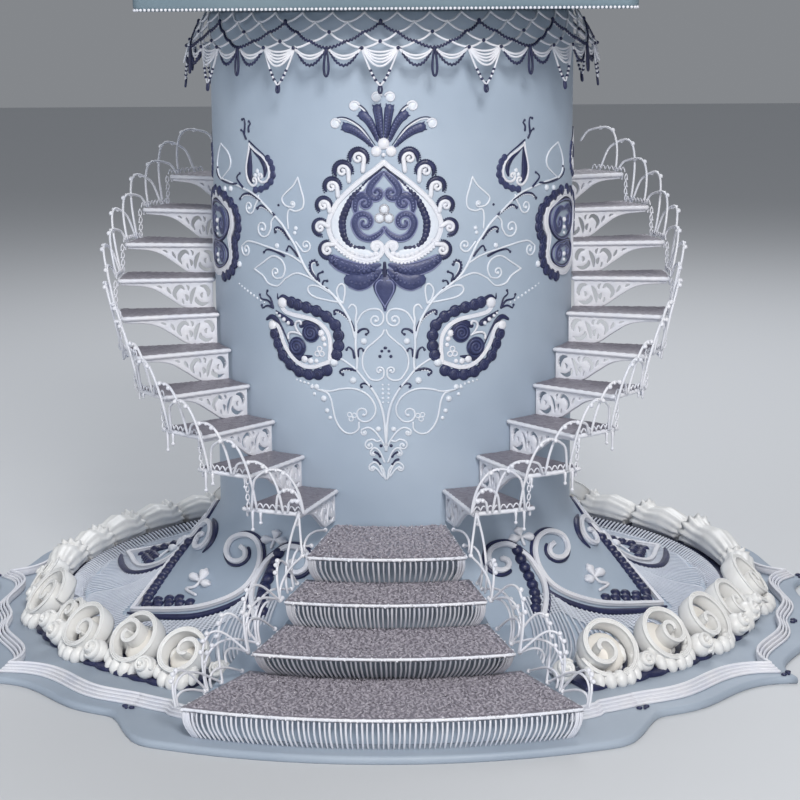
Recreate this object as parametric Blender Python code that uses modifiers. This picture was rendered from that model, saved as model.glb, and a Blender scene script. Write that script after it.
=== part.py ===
# Castle cake tier: a tall drum cake with piped lace under its square top slab,
# two winding side stairs, a broad front stair, wall ornament, foot scrolls and
# a wreath of rolled swirls, all standing on a thin iced base.
# Metres, +Z up. The front faces -Y. The origin is under the drum's centre, on
# the underside of the base.
import math

import bmesh
import bpy
from mathutils import Matrix, Vector

INCH = 0.0254
GAP = 0.0003                      # clearance between touching pieces
WELD = 0.00001
FLAT_ANGLE = math.radians(0.4)    # faces closer than this in slope are merged

# Drum, foot and top slab
DRUM_RADIUS = 4 * INCH
DRUM_SIDES = 44
BASE_THICKNESS = 0.004
FLARE_HEIGHT = 0.50 * DRUM_RADIUS  # height at which the foot leaves the wall
FLARE_RADIUS = 1.78 * DRUM_RADIUS
FLARE_POWER = 2.4
FLARE_EDGE = 0.0015
FLARE_ROWS = 6
DRUM_EDGE = 0.001
SLAB_UNDERSIDE = 3.275 * DRUM_RADIUS
SLAB_SIDE = 10 * INCH
SLAB_HEIGHT = 0.018
SLAB_ROUNDING = 0.003

# Iced base with its bracket-shaped outline
BASE_SHIFT = 0.31 * DRUM_RADIUS    # its centre lies in front of the drum's
BORDER_RADIUS = 2.18 * DRUM_RADIUS
BORDER_POINT = 0.18 * DRUM_RADIUS
BORDER_LOBE = 0.04 * DRUM_RADIUS
BORDER_MARGIN = 0.10 * DRUM_RADIUS
BORDER_BACK_REACH = 0.30 * DRUM_RADIUS  # extra behind the drum, past the wreath
BORDER_BACK_ANGLE = 100.0
BORDER_CORNERS = (0.0, 56.25, 101.25, 146.25, 180.0)
BORDER_NOTCHES = (33.75, 78.75, 123.75, 165.0)
BORDER_POINT_ANGLE = 2.7          # how quickly a point falls back to the outline
APRON_RADIUS = 2.81 * DRUM_RADIUS  # from the drum's axis, under the lowest step
APRON_HALF_ANGLE = 25.0
APRON_FADE = 11.0
BASE_POINTS = 96

# Lace skirt: rows as (height, radius), top to bottom
LACE_COLUMNS = 24
LACE_ROWS = ((3.268, 1.025), (3.190, 1.072), (3.080, 1.120), (2.925, 1.150))
LACE_STRAND = 0.0013

# Side stairs
TREAD_THICKNESS = 0.0025
TREAD_OUTER = 1.545 * DRUM_RADIUS
TREAD_COUNT = 10
TREAD_FIRST_ANGLE = 16.0
TREAD_PITCH = 10.9
TREAD_SPREAD = 0.055              # the treads lie a little further apart higher up
TREAD_SPAN = 12.8
TREAD_FIRST_HEIGHT = 0.795 * DRUM_RADIUS
TREAD_RISE = 0.169 * DRUM_RADIUS
BRACKET_THICKNESS = 0.0024
BRACKET_SETBACK = 1.1             # degrees behind the tread's front edge
BRACKET_HOLES = ((0.15, 0.46, 0.0034), (0.36, 0.34, 0.0026))

# Railings
RAIL_STRAND = 0.0015
RAIL_OFFSET = 0.0016
SIDE_ARCH_HEIGHT = 0.150 * DRUM_RADIUS
SIDE_ARCH_LEAN = 0.42             # outwards, as a share of the height
FRONT_ARCH_HEIGHT = 0.205 * DRUM_RADIUS
ARCH_CROSSING = 0.767              # share of the height where two arches cross
ARCH_SHOULDER = 0.946
RAIL_FOOT_LIFT = 0.0012
FRONT_RAIL_END = 3.5              # in steps, counted from the lowest

# Front steps, top to bottom: height, front radius, half widths front and back,
# back radius, radius of the strings' feet, number of strings
FRONT_STEPS = (
    (0.630, 1.75, 0.400, 0.295, 1.105, 1.66, 9),
    (0.470, 2.00, 0.496, 0.415, 1.597, 1.92, 11),
    (0.313, 2.35, 0.623, 0.500, 1.857, 2.21, 13),
    (0.157, 2.75, 0.927, 0.660, 2.147, 2.73, 19),
)
STRING_RADIUS = 0.0007
STRING_SIDE_SHARE = 0.16
STRING_INSET = 0.0012
CORE_SETBACK = 0.07 * DRUM_RADIUS
CORE_TAPER = 0.72
CORE_BACK = 1.02 * DRUM_RADIUS

# Foot scrolls: control points as (degrees, radius in drum radii)
FOOT_BAND_RADIUS = 0.0024
FOOT_SPACING = 45.0
PAISLEY_PATH = ((54.5, 1.055), (50.6, 1.11), (49.6, 1.20), (51.6, 1.33), (58.0, 1.47),
                (67.5, 1.585), (72.6, 1.42), (76.4, 1.27), (79.3, 1.15))
PAISLEY_START = (53.6, 1.105)      # middles of the spirals at its two ends
PAISLEY_END = (77.6, 1.095)
SIDE_SCROLL_PATH = ((37.0, 1.056), (39.6, 1.10), (39.4, 1.17), (36.6, 1.29), (32.6, 1.42),
                    (29.0, 1.53))
SIDE_SCROLL_START = (33.6, 1.09)
SPIRAL_TURN = 1.10
SPIRAL_POINTS = 5
SPIRAL_TIGHTENING = 0.72
FOOT_BAND_GAP = 0.00066            # keeps the straight pieces off the curved foot
MERIDIAN_ROWS = 80
WALL_SLOPE = -8.0                  # stands for the upright wall above the foot

# Wreath
WREATH_RADIUS = 2.01 * DRUM_RADIUS
WREATH_START = 30.0
WREATH_END = 176.0
WREATH_SWIRLS = 11
SWIRL_STEPS = 7
SWIRL_LEAN = 0.75
SWIRL_START = -0.30
SWIRL_TURNS = 1.05
SWIRL_TIGHTENING = 0.70
SWIRL_VARIATION = 0.10
SPINE_WAVE = 0.0020
BED_SCALLOPS = 20
BED_SCALLOP_REACH = 0.003
BED_OVERHANG = 3.0                 # degrees past the swirls
WREATH_BED_HEIGHT = 0.0025
WREATH_BED_INNER = 1.85 * DRUM_RADIUS
WREATH_BED_OUTER = 2.155 * DRUM_RADIUS
SWIRL_SIZE = 0.0138
SWIRL_ROLL = 0.0058

# Wall ornament, measured along the wall from its middle and up from the base top
ORNAMENT_ANGLE = -1.1
RELIEF_STEP = 0.016
RELIEF_GAP = 0.0006
HEART_TOP = 0.2564
HEART_OUTLINE = ((0.0112, 0.2501), (0.0214, 0.2432), (0.0286, 0.2326), (0.0315, 0.2220),
                 (0.0281, 0.2116), (0.0188, 0.2050), (0.0071, 0.2042))
HEART_CLEFT = 0.2069
HEART_MIDDLE = (0.0, 0.2275)
HEART_BAND = 0.0036
BACKING_RELIEF = 0.0018
BAND_RELIEF = 0.0016
# Right half of the navy backing: plume tips, heart with its curls, palmette
PLUME_HALF = ((0.0, 0.2740), (0.0042, 0.2850), (0.0062, 0.2735), (0.0130, 0.2810),
              (0.0118, 0.2690), (0.0215, 0.2735), (0.0100, 0.2615))
CURLED_HALF = ((0.0165, 0.2590), (0.0265, 0.2510), (0.0325, 0.2430), (0.0368, 0.2325),
               (0.0375, 0.2215), (0.0345, 0.2095))
PALMETTE_HALF = ((0.0325, 0.2025), (0.0215, 0.1985), (0.0235, 0.1912), (0.0105, 0.1925),
                 (0.0066, 0.1870), (0.0, 0.1774))
PAISLEY_POINTS = 14
PAISLEY_RELIEF = 0.0028
LOWER_PAISLEY_MIDDLE = (0.0455, 0.1655)
LOWER_PAISLEY_SIZE = (0.0195, 0.0155)
LOWER_PAISLEY_TILT = 30.0
SMALL_HEART_RELIEF = 0.0022
SMALL_HEART_MIDDLE = (0.0775, 0.2530)
SMALL_HEART_SIZE = (0.0085, 0.0125)
SIDE_PAISLEY_MIDDLE = (0.1300, 0.2250)
SIDE_PAISLEY_SIZE = (0.0150, 0.0210)
SIDE_PAISLEY_TILT = -12.0

BASE_TOP = BASE_THICKNESS

parts = None


def start():
    global parts
    for old in list(bpy.data.objects):
        bpy.data.objects.remove(old)
    parts = bpy.data.collections.new("castle_cake")
    bpy.context.scene.collection.children.link(parts)


def finish_material(name, colour, roughness):
    material = bpy.data.materials.new(name)
    material.use_nodes = True
    shader = material.node_tree.nodes["Principled BSDF"]
    shader.inputs["Base Color"].default_value = (*colour, 1.0)
    shader.inputs["Roughness"].default_value = roughness
    shader.inputs["Metallic"].default_value = 0.0
    return material


# helpers

def around(radius, angle, height):
    # a point by its distance from the drum's axis and its angle from the front
    turn = math.radians(angle)
    return Vector((radius * math.sin(turn), -radius * math.cos(turn), height))


def link(name, mesh):
    piece = bpy.data.objects.new(name, mesh)
    parts.objects.link(piece)
    return piece


def to_mesh(piece, name):
    # the evaluated piece as a plain mesh with its caps welded
    bpy.context.view_layer.update()
    graph = bpy.context.evaluated_depsgraph_get()
    mesh = bpy.data.meshes.new_from_object(piece.evaluated_get(graph))
    form = bmesh.new()
    form.from_mesh(mesh)
    bmesh.ops.remove_doubles(form, verts=form.verts, dist=WELD)
    bmesh.ops.recalc_face_normals(form, faces=form.faces)
    form.to_mesh(mesh)
    form.free()
    place = piece.matrix_world.copy()
    bpy.data.objects.remove(piece)
    solid = link(name, mesh)
    solid.matrix_world = place
    return solid


def tube(points, radius):
    curve = bpy.data.curves.new("tube", "CURVE")
    curve.dimensions = "3D"
    curve.bevel_depth = radius
    curve.bevel_resolution = 0
    curve.use_fill_caps = True
    spline = curve.splines.new("POLY")
    spline.points.add(len(points) - 1)
    for knot, place in zip(spline.points, points):
        knot.co = (*place, 1.0)
    return to_mesh(link("tube", curve), "tube")


def plate(loops, thickness):
    # a flat outline with any holes, centred on its own plane
    curve = bpy.data.curves.new("plate", "CURVE")
    curve.dimensions = "2D"
    curve.fill_mode = "BOTH"
    curve.extrude = thickness / 2
    for loop in loops:
        spline = curve.splines.new("POLY")
        spline.points.add(len(loop) - 1)
        spline.use_cyclic_u = True
        for knot, place in zip(spline.points, loop):
            knot.co = (place[0], place[1], 0.0, 1.0)
    return to_mesh(link("plate", curve), "plate")


def merge_flat_faces(solid):
    form = bmesh.new()
    form.from_mesh(solid.data)
    bmesh.ops.dissolve_limit(form, angle_limit=FLAT_ANGLE, verts=form.verts, edges=form.edges)
    bmesh.ops.triangulate(form, faces=form.faces)
    form.to_mesh(solid.data)
    form.free()


def pierced(name, places, cells, strand):
    # an openwork sheet: each cell is opened up, which leaves strands between them
    mesh = bpy.data.meshes.new(name)
    form = bmesh.new()
    knots = [form.verts.new(place) for place in places]
    faces = [form.faces.new([knots[i] for i in cell]) for cell in cells]
    bmesh.ops.recalc_face_normals(form, faces=form.faces)
    bmesh.ops.inset_individual(form, faces=faces, thickness=strand / 2, use_even_offset=True)
    bmesh.ops.delete(form, geom=faces, context="FACES")
    form.to_mesh(mesh)
    form.free()
    net = link(name, mesh)
    body = net.modifiers.new("body", "SOLIDIFY")
    body.thickness = strand
    body.offset = 0.0
    body.use_even_offset = True
    return net


def union(pieces, name, solver="EXACT"):
    first, rest = pieces[0], pieces[1:]
    group = bpy.data.collections.new("joined")
    bpy.context.scene.collection.children.link(group)
    for piece in rest:
        parts.objects.unlink(piece)
        group.objects.link(piece)
    join = first.modifiers.new("join", "BOOLEAN")
    join.operation = "UNION"
    join.operand_type = "COLLECTION"
    join.collection = group
    join.solver = solver
    solid = to_mesh(first, name)
    if solver == "EXACT":
        merge_flat_faces(solid)
    for piece in rest:
        bpy.data.objects.remove(piece)
    bpy.data.collections.remove(group)
    return solid


def dress(piece, name, material):
    piece.name = name
    piece.data.name = name
    piece.data.materials.clear()
    piece.data.materials.append(material)
    piece.data.shade_smooth()
    piece.data.set_sharp_from_angle(angle=math.radians(35))
    return piece


def mirrored(points):
    return [(-x, y) for x, y in reversed(points)]


def smooth_path(knots, steps):
    # a Catmull-Rom curve through tuples of any length
    ends = [knots[0]] + list(knots) + [knots[-1]]
    path = []
    for i in range(1, len(ends) - 2):
        for step in range(steps):
            t = step / steps
            path.append(tuple(
                0.5 * (2 * b + (c - a) * t + (2 * a - 5 * b + 4 * c - d) * t * t
                       + (3 * b - a - 3 * c + d) * t ** 3)
                for a, b, c, d in zip(*ends[i - 1:i + 3])))
    path.append(tuple(knots[-1]))
    return path


# drum and foot

def flare_height(radius):
    if radius >= FLARE_RADIUS:
        return 0.0
    share = (FLARE_RADIUS - radius) / (FLARE_RADIUS - DRUM_RADIUS)
    return FLARE_HEIGHT * min(share, 1.0) ** FLARE_POWER


def turned(name, profile, sides):
    # a solid turned from (radius, height) points listed from top to bottom
    mesh = bpy.data.meshes.new(name)
    edges = [(i, i + 1) for i in range(len(profile) - 1)]
    mesh.from_pydata([(r, 0.0, z) for r, z in profile], edges, [])
    solid = link(name, mesh)
    screw = solid.modifiers.new("turn", "SCREW")
    screw.axis = "Z"
    screw.steps = sides
    screw.render_steps = sides
    screw.use_merge_vertices = True
    screw.merge_threshold = WELD
    return solid


def flare_profile(grow):
    reach = FLARE_RADIUS - DRUM_RADIUS
    rows = []
    for row in range(FLARE_ROWS + 1):
        radius = DRUM_RADIUS + reach * row / FLARE_ROWS
        rows.append((radius + grow, BASE_TOP + GAP + FLARE_EDGE + flare_height(radius) + grow))
    return rows


def make_drum(icing):
    top = BASE_TOP + SLAB_UNDERSIDE - GAP
    profile = [(0.0, top), (DRUM_RADIUS - DRUM_EDGE, top), (DRUM_RADIUS, top - DRUM_EDGE)]
    profile += flare_profile(0.0)
    profile += [(FLARE_RADIUS, BASE_TOP + GAP), (0.0, BASE_TOP + GAP)]
    dress(turned("cake_drum", profile, DRUM_SIDES), "cake_drum", icing)


def make_slab(icing):
    height = BASE_TOP + SLAB_UNDERSIDE + SLAB_HEIGHT / 2
    bpy.ops.mesh.primitive_cube_add(size=1.0, location=(0.0, 0.0, height))
    slab = bpy.context.object
    slab.data.transform(Matrix.Diagonal((SLAB_SIDE, SLAB_SIDE, SLAB_HEIGHT, 1.0)))
    for group in slab.users_collection:
        group.objects.unlink(slab)
    parts.objects.link(slab)
    edge = slab.modifiers.new("edge", "BEVEL")
    edge.width = SLAB_ROUNDING
    edge.segments = 2
    dress(slab, "top_slab", icing)


def border_radius(angle):
    # the bracket outline of the base, from its own centre
    angle = abs((angle + 180.0) % 360.0 - 180.0)
    corner = min(BORDER_CORNERS, key=lambda c: abs(c - angle))
    notch = min(BORDER_NOTCHES, key=lambda n: abs(n - angle))
    span = abs(corner - notch)
    t = min(abs(angle - corner) / span, 1.0)
    point = BORDER_POINT * math.exp(-abs(angle - corner) / BORDER_POINT_ANGLE)
    lobe = BORDER_LOBE * math.sin(math.pi * t ** 1.7) ** 2
    behind = max(angle - BORDER_BACK_ANGLE, 0.0) / (180.0 - BORDER_BACK_ANGLE)
    reach = BORDER_BACK_REACH * math.sin(math.pi / 2 * behind)
    return BORDER_RADIUS + point + lobe + reach


def base_edge(angle):
    # the icing's own edge: outside the border, and out under the lowest step
    edge = border_radius(angle) + BORDER_MARGIN
    turn = math.radians(angle)
    apron = (math.sqrt(APRON_RADIUS ** 2 - (BASE_SHIFT * math.sin(turn)) ** 2)
             - BASE_SHIFT * math.cos(turn))
    away = abs((angle + 180.0) % 360.0 - 180.0)
    share = min(max((APRON_HALF_ANGLE + APRON_FADE - away) / APRON_FADE, 0.0), 1.0)
    share = share * share * (3 - 2 * share)
    return max(edge, edge + (apron - edge) * share)


def make_base(icing):
    outline = []
    for step in range(BASE_POINTS):
        angle = step * 360.0 / BASE_POINTS
        place = around(base_edge(angle), angle, 0.0)
        outline.append((place.x, place.y - BASE_SHIFT))
    base = plate([outline], BASE_THICKNESS)
    base.location.z = BASE_THICKNESS / 2
    dress(base, "iced_base", icing)


# lace

def make_lace(lace):
    # a flared net of diamonds whose lower row hangs in long points
    step = 360.0 / LACE_COLUMNS
    places = []
    for level, (height, radius) in enumerate(LACE_ROWS):
        for i in range(LACE_COLUMNS):
            angle = (i + 0.5 * (level % 2)) * step
            places.append(around(radius * DRUM_RADIUS, angle, BASE_TOP + height * DRUM_RADIUS))
    cells = []
    for i in range(LACE_COLUMNS):
        after = (i + 1) % LACE_COLUMNS
        first, second, third, fourth = (level * LACE_COLUMNS for level in range(4))
        cells.append((first + after, second + i, third + after, second + after))
        cells.append((second + i, third + i, fourth + i, third + after))
    dress(pierced("lace_skirt", places, cells, LACE_STRAND), "lace_skirt", lace)


# side stairs

def tread_height(k):
    return BASE_TOP + TREAD_FIRST_HEIGHT + TREAD_RISE * k


def tread_angle(k):
    return TREAD_FIRST_ANGLE + TREAD_PITCH * k + TREAD_SPREAD * k * k


def ring_sector(inner, outer, start, end, steps):
    span = [start + (end - start) * i / steps for i in range(steps + 1)]
    rim = [around(outer, a, 0.0) for a in span]
    back = [around(inner, a, 0.0) for a in reversed(span)]
    return [(p.x, p.y) for p in rim + back]


def round_hole(x, y, radius, corners):
    return [(x + radius * math.cos(2 * math.pi * i / corners),
             y + radius * math.sin(2 * math.pi * i / corners)) for i in range(corners)]


def bracket_outline():
    # radius and drop below the tread: full height at the wall, then a slope up
    # to a thin flange under the tread's outer end
    inner = DRUM_RADIUS + GAP
    length = TREAD_OUTER - inner - 0.002
    full = TREAD_RISE - TREAD_THICKNESS - GAP
    shape = [(0.0, -0.07), (1.0, -0.07), (1.0, 0.09), (0.71, 0.11), (0.58, 0.27),
             (0.44, 0.60), (0.30, 1.0), (0.0, 1.0)]
    return [(inner + u * length, -v * full) for u, v in shape], inner, length, full


def make_step(k, side, tread_icing):
    start = side * tread_angle(k)
    end = side * (tread_angle(k) + TREAD_SPAN)
    top = plate([ring_sector(DRUM_RADIUS + GAP, TREAD_OUTER, start, end, 2)], TREAD_THICKNESS)
    top.location.z = tread_height(k) - TREAD_THICKNESS / 2
    outline, inner, length, full = bracket_outline()
    holes = [round_hole(inner + u * length, -v * full, size, 4) for u, v, size in BRACKET_HOLES]
    panel = plate([outline] + holes, BRACKET_THICKNESS)
    angle = math.radians(side * (tread_angle(k) + BRACKET_SETBACK))
    out = Vector((math.sin(angle), -math.cos(angle), 0.0))
    up = Vector((0.0, 0.0, 1.0))
    turn = Matrix((out, up, out.cross(up))).transposed().to_4x4()
    turn.translation = up * (tread_height(k) - TREAD_THICKNESS)
    panel.matrix_world = turn
    name = "step_%s_%02d" % ("right" if side > 0 else "left", k + 1)
    dress(union([top, panel], name), name, tread_icing)


def helix_point(s, side, lift):
    # along the outer edge of the side stair, leaning out; s counts treads
    reach = TREAD_OUTER + RAIL_OFFSET + SIDE_ARCH_LEAN * lift
    return around(reach, side * tread_angle(s), tread_height(s) + lift)


def make_railing(name, path, height, last, lace):
    # two arches to a tread, each crossing the next halfway down its flank
    places = []

    def knot(s, share):
        places.append(path(s, RAIL_FOOT_LIFT + height * share))
        return len(places) - 1
    count = int(2 * last)
    feet = [knot(i / 2, 0.0) for i in range(count + 1)]
    crossings = [knot(i / 2 + 0.25, ARCH_CROSSING) for i in range(count)]
    cells = [(feet[i], feet[i + 1], crossings[i]) for i in range(count)]
    for j in range(count - 1):
        left = knot(j / 2 + 0.375, ARCH_SHOULDER)
        apex = knot(j / 2 + 0.5, 1.0)
        right = knot(j / 2 + 0.625, ARCH_SHOULDER)
        cells.append((feet[j + 1], crossings[j + 1], right, apex, left, crossings[j]))
    dress(pierced(name, places, cells, RAIL_STRAND), name, lace)


def make_side_rail(side, lace):
    def path(s, lift):
        return helix_point(s, side, lift)
    name = "rail_right" if side > 0 else "rail_left"
    make_railing(name, path, SIDE_ARCH_HEIGHT, TREAD_COUNT + 0.5, lace)


# front stair

def arc_points(radius, half_width, steps):
    reach = math.degrees(math.asin(half_width / radius))
    return [around(radius, -reach + 2 * reach * i / steps, 0.0) for i in range(steps + 1)]


def step_outline(front, half_front, half_back, back):
    rim = arc_points(front, half_front, 8)
    rear = list(reversed(arc_points(back, half_back, 4)))
    return [(p.x, p.y) for p in rim + rear]


def string_tops(front, half_front, half_back, back, count):
    # evenly spaced along the front, and round the corners on to the sides
    rim = arc_points(front, half_front, 24)
    corner, rear = rim[-1], around(back, math.degrees(math.asin(half_back / back)), 0.0)
    turn = corner.lerp(rear, STRING_SIDE_SHARE)
    path = [Vector((-turn.x, turn.y, 0.0))] + rim + [turn]
    lengths = [0.0]
    for a, b in zip(path, path[1:]):
        lengths.append(lengths[-1] + (b - a).length)
    places = []
    for i in range(count):
        want = lengths[-1] * (i + 0.5) / count
        j = max(n for n in range(len(path) - 1) if lengths[n] <= want)
        share = (want - lengths[j]) / (lengths[j + 1] - lengths[j])
        places.append(path[j].lerp(path[j + 1], share))
    return places


def make_front_step(index, tread_icing):
    height, front, half_front, half_back, back, feet, count = FRONT_STEPS[index]
    lower = FRONT_STEPS[index + 1][0] if index + 1 < len(FRONT_STEPS) else 0.0
    front, half_front, half_back, back, feet = (
        value * DRUM_RADIUS for value in (front, half_front, half_back, back, feet))
    top = BASE_TOP + height * DRUM_RADIUS
    ground = BASE_TOP + lower * DRUM_RADIUS + GAP + STRING_RADIUS
    slab = plate([step_outline(front, half_front, half_back, back)], TREAD_THICKNESS)
    slab.location.z = top - TREAD_THICKNESS / 2
    pieces = [slab]
    rim = front - STRING_INSET
    for place in string_tops(rim, half_front - STRING_INSET, half_back, back, count):
        foot = place * (feet / front)
        foot.z = ground
        head = Vector((place.x, place.y, top - TREAD_THICKNESS / 2))
        pieces.append(tube([head, foot], STRING_RADIUS))
    name = "front_step_%d" % (index + 1)
    dress(union(pieces, name), name, tread_icing)


def make_core(icing):
    blocks = []
    for height, front, half_front, half_back, back, feet, count in FRONT_STEPS:
        rim = feet * DRUM_RADIUS - CORE_SETBACK
        wide = half_front * DRUM_RADIUS - CORE_SETBACK
        outline = step_outline(rim, wide, wide * CORE_TAPER, CORE_BACK)
        top = BASE_TOP + height * DRUM_RADIUS - TREAD_THICKNESS - GAP
        tall = top - BASE_TOP - GAP
        block = plate([outline], tall)
        block.location.z = top - tall / 2
        blocks.append(block)
    core = union(blocks, "stair_core")
    # the block stops at the drum's flared foot
    grow = 2 * GAP
    profile = [(0.0, 2 * FLARE_HEIGHT), (DRUM_RADIUS + grow, 2 * FLARE_HEIGHT)]
    profile += flare_profile(grow)
    profile += [(FLARE_RADIUS + grow, -FLARE_EDGE), (0.0, -FLARE_EDGE)]
    cutter = turned("foot_cutter", profile, DRUM_SIDES)
    parts.objects.unlink(cutter)
    cutters = bpy.data.collections.new("cutters")
    bpy.context.scene.collection.children.link(cutters)
    cutters.objects.link(cutter)
    cutter.hide_render = True
    cutter.display_type = "WIRE"
    cut = core.modifiers.new("foot", "BOOLEAN")
    cut.operation = "DIFFERENCE"
    cut.object = cutter
    cut.solver = "EXACT"
    dress(core, "stair_core", icing)


def front_rail_path(side):
    # from the lowest step's corner up to the first side tread
    knots = []
    for height, front, half_front, half_back, back, feet, count in reversed(FRONT_STEPS):
        angle = math.degrees(math.asin(half_front / front))
        corner = around(front * DRUM_RADIUS, angle, BASE_TOP + height * DRUM_RADIUS)
        knots.append((side * (corner.x + 2 * RAIL_OFFSET), corner.y, corner.z))
    end = helix_point(0.0, side, 0.0)
    knots.append((end.x, end.y, end.z))
    steps = 10
    path = smooth_path(knots, steps)

    def point(s, lift):
        place = min(max(s, 0.0), len(knots) - 1.0) * steps
        i = min(int(place), len(path) - 2)
        here = Vector(path[i]).lerp(Vector(path[i + 1]), place - i)
        return here + Vector((0.0, 0.0, lift))
    return point


def make_front_rail(side, lace):
    name = "front_rail_right" if side > 0 else "front_rail_left"
    make_railing(name, front_rail_path(side), FRONT_ARCH_HEIGHT, FRONT_RAIL_END, lace)


# foot scrolls

def meridian():
    # distance along the foot's curve from the wall, for each radius
    table = [(0.0, DRUM_RADIUS)]
    for row in range(MERIDIAN_ROWS):
        a = DRUM_RADIUS + (FLARE_RADIUS - DRUM_RADIUS) * row / MERIDIAN_ROWS
        b = DRUM_RADIUS + (FLARE_RADIUS - DRUM_RADIUS) * (row + 1) / MERIDIAN_ROWS
        table.append((table[-1][0] + math.hypot(b - a, flare_height(b) - flare_height(a)), b))
    return table


def radius_at(distance, table):
    if distance <= 0.0:
        return DRUM_RADIUS
    for (d0, r0), (d1, r1) in zip(table, table[1:]):
        if distance <= d1:
            return r0 + (r1 - r0) * (distance - d0) / (d1 - d0)
    return table[-1][1] + distance - table[-1][0]


def distance_at(radius, table):
    for (d0, r0), (d1, r1) in zip(table, table[1:]):
        if radius <= r1:
            return d0 + (d1 - d0) * (radius - r0) / (r1 - r0)
    return table[-1][0]


def foot_point(angle, distance, lift, table):
    # a point on the foot's surface, lifted off it; above the foot it is the wall
    radius = radius_at(distance, table)
    edge = BASE_TOP + GAP + FLARE_EDGE
    height = edge + flare_height(radius) + max(-distance, 0.0)
    slope = (flare_height(radius + 0.0005) - flare_height(radius)) / 0.0005
    if distance <= 0.0:
        slope = WALL_SLOPE
    tilt = math.atan2(-slope, 1.0)
    return around(radius + lift * math.sin(tilt), angle, height + lift * math.cos(tilt))


def spiral_end(centre, start_knot, direction, table):
    # an inward spiral that begins at start_knot, in (degrees, distance) pairs
    angle, radius = centre
    middle = distance_at(radius * DRUM_RADIUS, table)
    per_degree = math.radians(1.0) * radius * DRUM_RADIUS
    du = (start_knot[0] - angle) * per_degree
    dv = start_knot[1] - middle
    first = math.atan2(dv, du)
    reach = math.hypot(du, dv)
    points = []
    for i in range(1, SPIRAL_POINTS + 1):
        t = i / SPIRAL_POINTS
        spread = reach * (1.0 - SPIRAL_TIGHTENING * t)
        way = first + direction * 2 * math.pi * SPIRAL_TURN * t
        points.append((angle + spread * math.cos(way) / per_degree,
                       middle + spread * math.sin(way)))
    return points


def scroll_band(path, start, end, turn_angle, side, table):
    line = [(a, distance_at(r * DRUM_RADIUS, table)) for a, r in path]
    head = spiral_end(start, line[0], 1.0, table)
    line = list(reversed(head)) + line
    if end:
        line += spiral_end(end, line[-1], -1.0, table)
    lift = FOOT_BAND_RADIUS + FOOT_BAND_GAP
    return [foot_point(side * (a + turn_angle), d, lift, table) for a, d in line]


def make_foot_scrolls(band_icing):
    table = meridian()
    for side, word in ((-1, "left"), (1, "right")):
        for row in range(3):
            points = scroll_band(PAISLEY_PATH, PAISLEY_START, PAISLEY_END,
                                 FOOT_SPACING * row, side, table)
            name = "foot_paisley_%s_%d" % (word, row + 1)
            dress(tube(points, FOOT_BAND_RADIUS), name, band_icing)
        points = scroll_band(SIDE_SCROLL_PATH, SIDE_SCROLL_START, None, 0.0, side, table)
        name = "foot_scroll_%s" % word
        dress(tube(points, FOOT_BAND_RADIUS), name, band_icing)


# wreath

def make_wreath_bed(navy):
    first, last = WREATH_START - BED_OVERHANG, 360.0 - WREATH_START + BED_OVERHANG
    outer = []
    for i in range(2 * BED_SCALLOPS + 1):
        angle = first + (last - first) * i / (2 * BED_SCALLOPS)
        reach = WREATH_BED_OUTER + (BED_SCALLOP_REACH if i % 2 else 0.0)
        outer.append(around(reach, angle, 0.0))
    inner = [around(WREATH_BED_INNER, first + (last - first) * i / BED_SCALLOPS, 0.0)
             for i in range(BED_SCALLOPS, -1, -1)]
    bed = plate([[(p.x, p.y) for p in outer + inner]], WREATH_BED_HEIGHT)
    bed.location.z = BASE_TOP + GAP + WREATH_BED_HEIGHT / 2
    dress(bed, "wreath_bed", navy)


def swirl(angle, side, index):
    # one rolled curl leaning outwards: from its foot round and in to the eye
    size = SWIRL_SIZE * (1.0 + SWIRL_VARIATION * math.sin(2.4 * index))
    floor = BASE_TOP + 2 * GAP + WREATH_BED_HEIGHT
    out = around(1.0, angle, 0.0)
    along = Vector((-out.y, out.x, 0.0)) * side
    rise = (out * SWIRL_LEAN + Vector((0.0, 0.0, 1.0))).normalized()
    spin = -1.0 if index % 2 else 1.0
    middle = around(WREATH_RADIUS - 0.3 * size, angle, floor + SWIRL_ROLL + 0.62 * size)
    points = []
    for i in range(SWIRL_STEPS + 1):
        t = i / SWIRL_STEPS
        spread = size * (1.0 - SWIRL_TIGHTENING * t)
        way = spin * 2 * math.pi * (SWIRL_START + SWIRL_TURNS * t)
        points.append(middle + along * (spread * math.cos(way)) + rise * (spread * math.sin(way)))
    low = min(p.z for p in points)
    lift = max(floor + SWIRL_ROLL - low, 0.0)
    return tube([p + Vector((0.0, 0.0, lift)) for p in points], SWIRL_ROLL)


def make_wreath(side, ivory):
    floor = BASE_TOP + 2 * GAP + WREATH_BED_HEIGHT
    spacing = (WREATH_END - WREATH_START) / WREATH_SWIRLS
    spine = []
    for i in range(WREATH_SWIRLS + 1):
        angle = side * (WREATH_START + spacing * i)
        wave = SPINE_WAVE * (1 if i % 2 else -1)
        spine.append(around(WREATH_RADIUS + wave, angle, floor + SWIRL_ROLL))
    pieces = [tube(spine, SWIRL_ROLL)]
    for i in range(WREATH_SWIRLS):
        pieces.append(swirl(side * (WREATH_START + spacing * (i + 0.5)), side, i))
    name = "wreath_right" if side > 0 else "wreath_left"
    dress(union(pieces, name, "MANIFOLD"), name, ivory)


# wall ornament

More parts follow.
